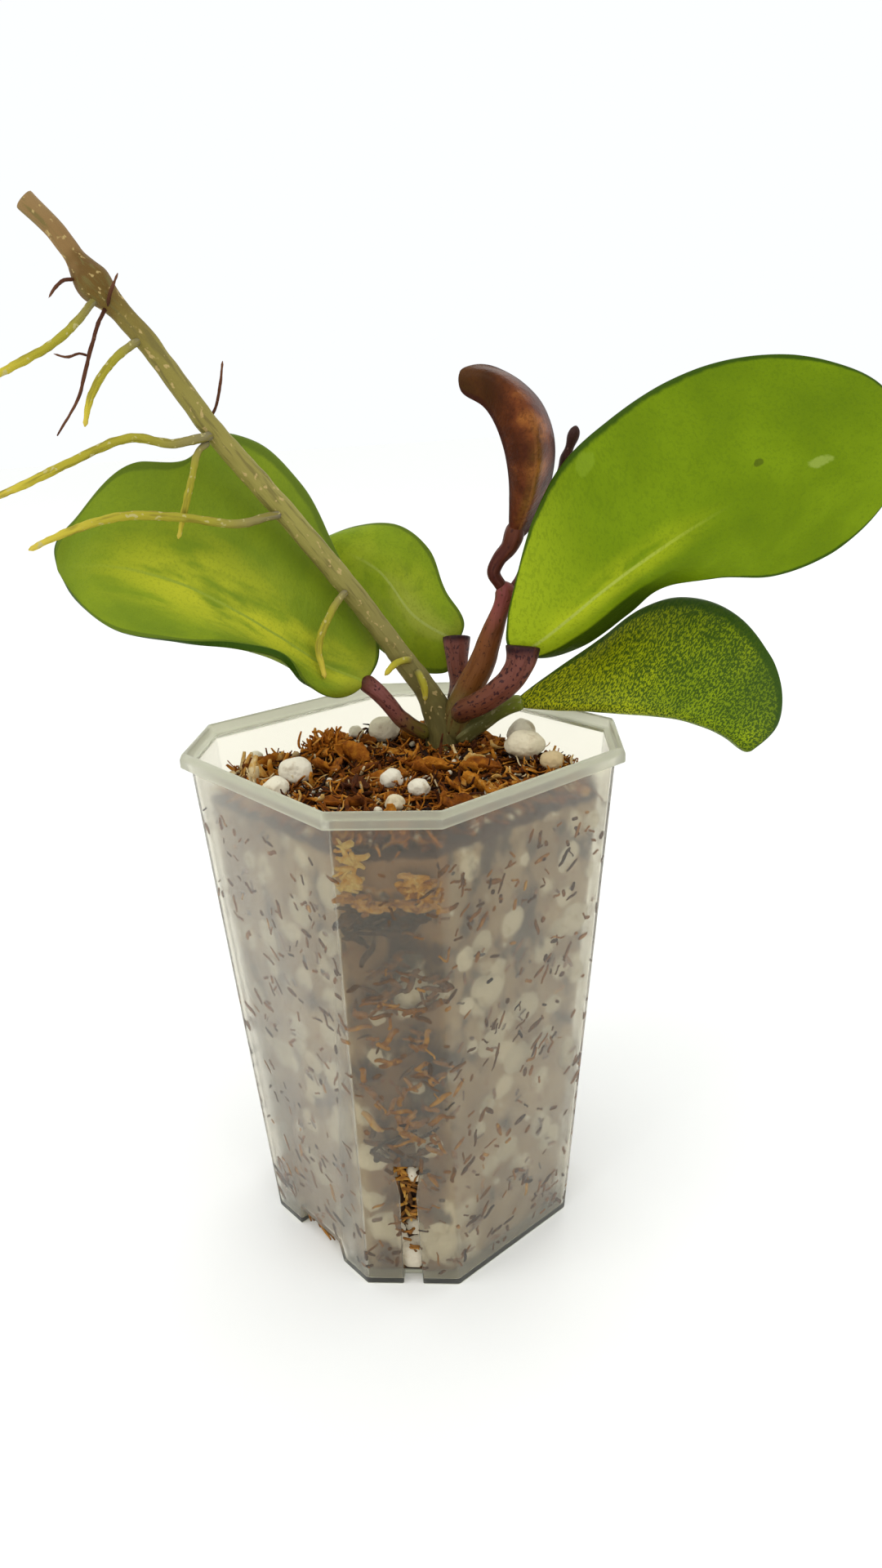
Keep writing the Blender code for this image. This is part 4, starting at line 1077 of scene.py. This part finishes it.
class HOYA_OT_litter(bpy.types.Operator):
    """Scatter husk shreds, bark crumbs and perlite fines over the mix"""
    bl_idname = "hoya.litter"
    bl_label = "Litter on the mix"

    def execute(self, context):
        settings = context.scene.hoya_mix
        draw = random.Random(settings.seed)
        husk = husk_finish("dry_coconut_husk", HUSK_STOPS)
        shreds = start_heap()
        for _ in range(settings.shreds):
            x, y = mix_spot(draw, 5.0)
            shape = shred_shape(draw.uniform(2.0, 9.0), 0.25 + draw.expovariate(2.6),
                                draw.uniform(0.15, 0.3), draw.uniform(-3.4, 3.4),
                                draw.uniform(-1.4, 1.4))
            drop(shreds, shape, laid(draw, x, y, draw.uniform(-0.2, 1.9), 0.34),
                 clamp(draw.gauss(straw_tone(x, y) - 0.03, 0.26), 0, 1))
        for number in range(settings.flakes):
            x, y = mix_spot(draw, 8.5)
            sizes = [draw.uniform(5.0, 12.0), draw.uniform(3.0, 7.0), draw.uniform(2.0, 4.4)]
            shape = flake_shape(sizes, draw.uniform(0.7, 1.6), number)
            drop(shreds, shape, laid(draw, x, y, 0.5 + sizes[2] / 2, 0.3),
                 clamp(draw.gauss(straw_tone(x, y) + 0.06, 0.18), 0, 1))
        for x, y, height, tone in STRAWS:
            spot = PLANT_TURN @ Vector((x, y, 0))
            lean = Euler((draw.gauss(0, 0.3), math.radians(-78) + draw.gauss(0, 0.2),
                          draw.uniform(0, math.tau))).to_matrix().to_4x4()
            place = Matrix.Translation(pot_place(spot.x, spot.y, MIX_TOP + height / 3))
            drop(shreds, shred_shape(height, height * 0.24, 0.5, draw.uniform(-1, 1), 0.3),
                 place @ lean, tone)
        add_piece("husk_shreds", shreds, [husk])
        crumbs = start_heap()
        for number in range(settings.crumbs):
            x, y = mix_spot(draw, 4.4)
            sizes = [draw.uniform(0.9, 3.6), draw.uniform(0.8, 2.4), draw.uniform(0.7, 1.8)]
            drop(crumbs, grain_shape(sizes, number + 100, 1), laid(draw, x, y, 0.4, 0.5),
                 clamp(draw.gauss(0.36, 0.2), 0, 0.85))
        add_piece("bark_crumbs", crumbs, [husk])
        fines = start_heap()
        for number in range(settings.fines):
            x, y = mix_spot(draw, 4.6)
            size = draw.uniform(0.7, 2.3)
            drop(fines, grain_shape([size, size * draw.uniform(0.7, 1.0), size * 0.8],
                                    number + 900, 2),
                 laid(draw, x, y, 0.6, 0.8), draw.uniform(0.0, 1.0))
        add_piece("perlite_fines", fines, [bpy.data.materials["expanded_perlite"]])
        return {"FINISHED"}


def loose_place(place, height):
    """The matrix of a loose piece that rests on the mix at a place in the plant's frame."""
    spot = PLANT_TURN @ Vector((*place, 0))
    lift = mix_height(spot.x, spot.y) + height / 2 + LOOSE_GAP
    return Matrix.Translation(pot_place(spot.x, spot.y, lift)) @ PLANT_TURN


class HOYA_OT_perlite(bpy.types.Operator):
    """Set the eleven large perlite grains on the mix"""
    bl_idname = "hoya.perlite"
    bl_label = "Perlite grains"

    def execute(self, context):
        finish = perlite_finish("expanded_perlite", [(0.0, "#dcd5c2"), (0.5, "#e4dcc4"),
                                                     (0.85, "#d6c8a4"), (1.0, "#c4a877")])
        for seed, (name, (place, sizes, tone)) in enumerate(GRAINS.items()):
            heap = start_heap()
            drop(heap, grain_shape(sizes, seed + 3, 4), loose_place(place, sizes[2]), tone)
            add_piece(name + "_grain", heap, [finish], [name])
        return {"FINISHED"}


class HOYA_OT_husk(bpy.types.Operator):
    """Lay the curled husk flakes and the rusty clump of moss on the mix"""
    bl_idname = "hoya.husk"
    bl_label = "Husk flakes and moss"

    def execute(self, context):
        draw = random.Random(context.scene.hoya_mix.seed + 1)
        husk = husk_finish("curled_coconut_husk", HUSK_STOPS)
        for seed, (name, (place, sizes, tone)) in enumerate(CHIPS.items()):
            heap = start_heap()
            drop(heap, flake_shape(sizes, 1.25, seed + 60), loose_place(place, sizes[2]), tone)
            subdivide(add_piece(name + "_flake", heap, [husk], [name]))
        place, sizes = MOSS
        moss = start_heap()
        middle = loose_place(place, sizes[2])
        for _ in range(MOSS_FIBRES):
            offset = Vector([draw.gauss(0, size * 0.2) for size in sizes]) * MM
            spin = Euler([draw.uniform(0, math.tau) for _ in range(3)]).to_matrix().to_4x4()
            shape = shred_shape(draw.uniform(1.6, 4.0), draw.uniform(0.4, 1.2), 0.3,
                                draw.uniform(-3.0, 3.0), draw.uniform(-0.8, 0.8))
            drop(moss, shape, middle @ Matrix.Translation(offset) @ spin,
                 clamp(draw.gauss(0.6, 0.16), 0, 1))
        rust = husk_finish("rusty_dry_moss", [(0.0, "#5a280a"), (0.4, "#92500e"),
                                              (0.7, "#b8701c"), (1.0, "#cc9444")])
        add_piece("moss_fibres", moss, [rust], ["moss_clump"])
        return {"FINISHED"}


def against_wall(angle, z, inset):
    """The matrix of a piece inside the wall: x down it, y along it, and z out through it."""
    reach, side = wall_at(angle, z, inset)
    draft = math.atan((NECK_HALF - BASE_HALF) / NECK_HEIGHT)
    place = pot_place(math.cos(angle) * reach, math.sin(angle) * reach, z)
    return (Matrix.Translation(place) @ Matrix.Rotation(math.radians(45 * side), 4, "Z")
            @ Matrix.Rotation(math.pi / 2 + draft, 4, "Y"))


class HOYA_OT_wall_pieces(bpy.types.Operator):
    """Press husk shreds and perlite against the inside of the clear wall and behind its slots"""
    bl_idname = "hoya.wall_pieces"
    bl_label = "Pieces against the wall"

    def execute(self, context):
        settings = context.scene.hoya_mix
        draw = random.Random(settings.seed + 2)
        buried = perlite_finish("damp_buried_perlite", [(0.0, "#bdb29c"), (1.0, "#dad1bd")])
        pressed = husk_finish("damp_pressed_husk", [(0.0, "#2a1c12"), (0.3, "#5a3c1e"),
                                                    (0.6, "#8e5c22"), (0.8, "#b98638"),
                                                    (1.0, "#c9ab66")])
        grains = start_heap()
        for number in range(settings.wall_grains):
            angle = draw.uniform(0, math.tau)
            z = draw.uniform(4.0, MIX_TOP - 6.0)
            size = draw.uniform(4.0, 10.0)
            deep = 4.1 + abs(draw.gauss(0.0, 0.8))
            turn = Matrix.Rotation(draw.uniform(0, math.tau), 4, "Z")
            drop(grains, grain_shape([size * 1.08, size, 4.8], number, 2),
                 against_wall(angle, z, deep) @ turn, clamp(draw.gauss(0.4, 0.25), 0, 1))
        flecks = start_heap()
        for number in range(settings.flecks):
            angle = draw.uniform(0, math.tau)
            z = 3.0 + (MIX_TOP - 5.0) * draw.random() ** 1.15
            lean = {0: -50, 6: 50}.get(wall_at(angle, z, 0.0)[1], draw.choice((-50, 50)))
            slant = Matrix.Rotation(math.radians(lean) + draw.gauss(0, 0.5), 4, "Z")
            clump = noise.noise(Vector((math.cos(angle) * 4, math.sin(angle) * 4, z / 11)))
            if clump < 0.0 and number % 4:
                continue
            deep = draw.choice(FLECK_INSETS)
            shape = shred_shape(min(LONGEST_FLECK, 0.8 + draw.expovariate(0.75)),
                                draw.uniform(0.4, 1.3), 0.2,
                                0.0, draw.uniform(-0.8, 0.8), segments=4)
            drop(flecks, shape, against_wall(angle, z, deep) @ slant,
                 clamp(draw.gauss(0.42, 0.16), 0, 0.8))
        for z, rise, bearing, spread, count, tone, deep in FRONT_TUFTS:
            for _ in range(count):
                angle = math.radians(-45 + bearing + draw.uniform(-spread, spread))
                spin = Matrix.Rotation(math.pi / 2 + draw.gauss(0, 0.6), 4, "Z")
                shape = shred_shape(draw.uniform(2.0, 6.0), draw.uniform(0.6, 1.8), 0.3,
                                    draw.uniform(-0.8, 0.8), draw.uniform(-1.2, 1.2))
                drop(flecks, shape, against_wall(angle, z + draw.gauss(0, rise), deep) @ spin,
                     clamp(draw.gauss(tone, 0.1), 0, 1))
        for corner in range(4):
            angle = math.radians(45 + 90 * corner)
            for z, sizes, tone in SLOT_GRAINS:
                shift = math.radians(draw.uniform(0.5, 2.5))
                drop(grains, grain_shape(sizes, corner + 50, 3),
                     against_wall(angle + shift, z, 2.9), tone)
            for _ in range(SLOT_SHREDS):
                shift = math.radians(draw.uniform(-3.4, 3.4))
                spin = Matrix.Rotation(draw.uniform(0, math.tau), 4, "Z")
                shape = shred_shape(draw.uniform(2.0, 4.5), draw.uniform(0.4, 1.1), 0.3,
                                    draw.uniform(-1.5, 1.5), 0.3)
                drop(flecks, shape, against_wall(angle + shift, draw.uniform(18, 32), 2.2) @ spin,
                     clamp(draw.gauss(0.62, 0.15), 0, 1))
        add_piece("wall_shreds", flecks, [pressed])
        add_piece("wall_grains", grains, [buried])
        return {"FINISHED"}


class HOYA_OT_stems(bpy.types.Operator):
    """Grow the old stem, the new shoot, the runner and the leaf stalks"""
    bl_idname = "hoya.stems"
    bl_label = "Stems and stalks"

    def execute(self, context):
        skins = {name: bark_finish(name, *values) for name, values in BARKS.items()}
        for seed, (name, points) in enumerate(STEMS.items()):
            twig = name.startswith("dry_twig") or name == DRIED_ROOT
            thin = name.startswith(("aerial_root", "dry_twig"))
            skin, slot, lump = STEM_KINDS.get(name, ("ochre_root_skin", "root", 0.17))
            if twig:
                skin, slot, lump = "dry_twig_skin", "twig", 0.12
                points = [(*point[:3], point[3] * THINNED) for point in points]

            def relief(around, along, seed=seed, lump=lump, thin=thin):
                spot = Vector((around.x, around.y, along))
                broad = noise.noise(spot / (1.2 if thin else 3.0) + Vector((seed, 0, 0)))
                drawn = noise.noise(Vector((around.x, around.y, along * 0.15)) / 0.8)
                return lump * (broad + 0.4 * drawn)

            bm = stem_body(points, relief, sides=12 if thin else 22, step=0.7,
                           rounded=name not in ("main_stem", "petiole_right", "petiole_back"))
            piece = add_piece(name + "_skin", bm, [skins[skin]], [name])
            if not thin:
                subdivide(piece)
        return {"FINISHED"}


class HOYA_OT_leaves(bpy.types.Operator):
    """Shape the four grown leaves and the young one, with their waxy skins"""
    bl_idname = "hoya.leaves"
    bl_label = "Leaves"

    def execute(self, context):
        settings = context.scene.hoya_plant
        for seed, (name, lines) in enumerate(LEAVES.items()):
            bm = blade_body(*lines, seed, settings.ripple)
            look = LEAF_LOOKS[name]
            finishes = [leaf_finish(f"{name}_cuticle_{side}", look, side)
                        for side in ("face", "back", "rim")]
            piece = add_piece(name + "_blade", bm, finishes, [name])
            flesh = piece.modifiers.new("thickness", "SOLIDIFY")
            flesh.thickness = settings.young_blade if name == "leaf_young" else settings.blade
            flesh.offset = 0.0
            flesh.material_offset = 1
            flesh.material_offset_rim = 2
            subdivide(piece)
        return {"FINISHED"}


class HOYA_PT_panel(bpy.types.Panel):
    """The hoya's settings and its steps"""
    bl_label = "Potted Hoya"
    bl_idname = "HOYA_PT_panel"
    bl_space_type = "VIEW_3D"
    bl_region_type = "UI"
    bl_category = "Hoya"

    def draw(self, context):
        scene = context.scene
        for group in (scene.hoya_stage, scene.hoya_pot, scene.hoya_mix, scene.hoya_plant):
            box = self.layout.box()
            for name in group.__annotations__:
                box.prop(group, name)
        for step in STEPS:
            self.layout.operator(step.bl_idname)


STEPS = [HOYA_OT_stage, HOYA_OT_pot, HOYA_OT_mix, HOYA_OT_perlite, HOYA_OT_litter, HOYA_OT_husk,
         HOYA_OT_wall_pieces, HOYA_OT_stems, HOYA_OT_leaves]
GROUPS = {"hoya_stage": HoyaStage, "hoya_pot": HoyaPot, "hoya_mix": HoyaMix,
          "hoya_plant": HoyaPlant}


def register():
    for item in [*GROUPS.values(), *STEPS, HOYA_PT_panel]:
        bpy.utils.register_class(item)
    for name, group in GROUPS.items():
        setattr(bpy.types.Scene, name, bpy.props.PointerProperty(type=group))


def unregister():
    for name in GROUPS:
        delattr(bpy.types.Scene, name)
    for item in reversed([*GROUPS.values(), *STEPS, HOYA_PT_panel]):
        bpy.utils.unregister_class(item)


def main():
    register()
    bpy.ops.hoya.stage()
    bpy.ops.hoya.pot()
    bpy.ops.hoya.mix()
    bpy.ops.hoya.perlite()
    bpy.ops.hoya.litter()
    bpy.ops.hoya.husk()
    bpy.ops.hoya.wall_pieces()
    bpy.ops.hoya.stems()
    bpy.ops.hoya.leaves()


if __name__ == "__main__":
    main()
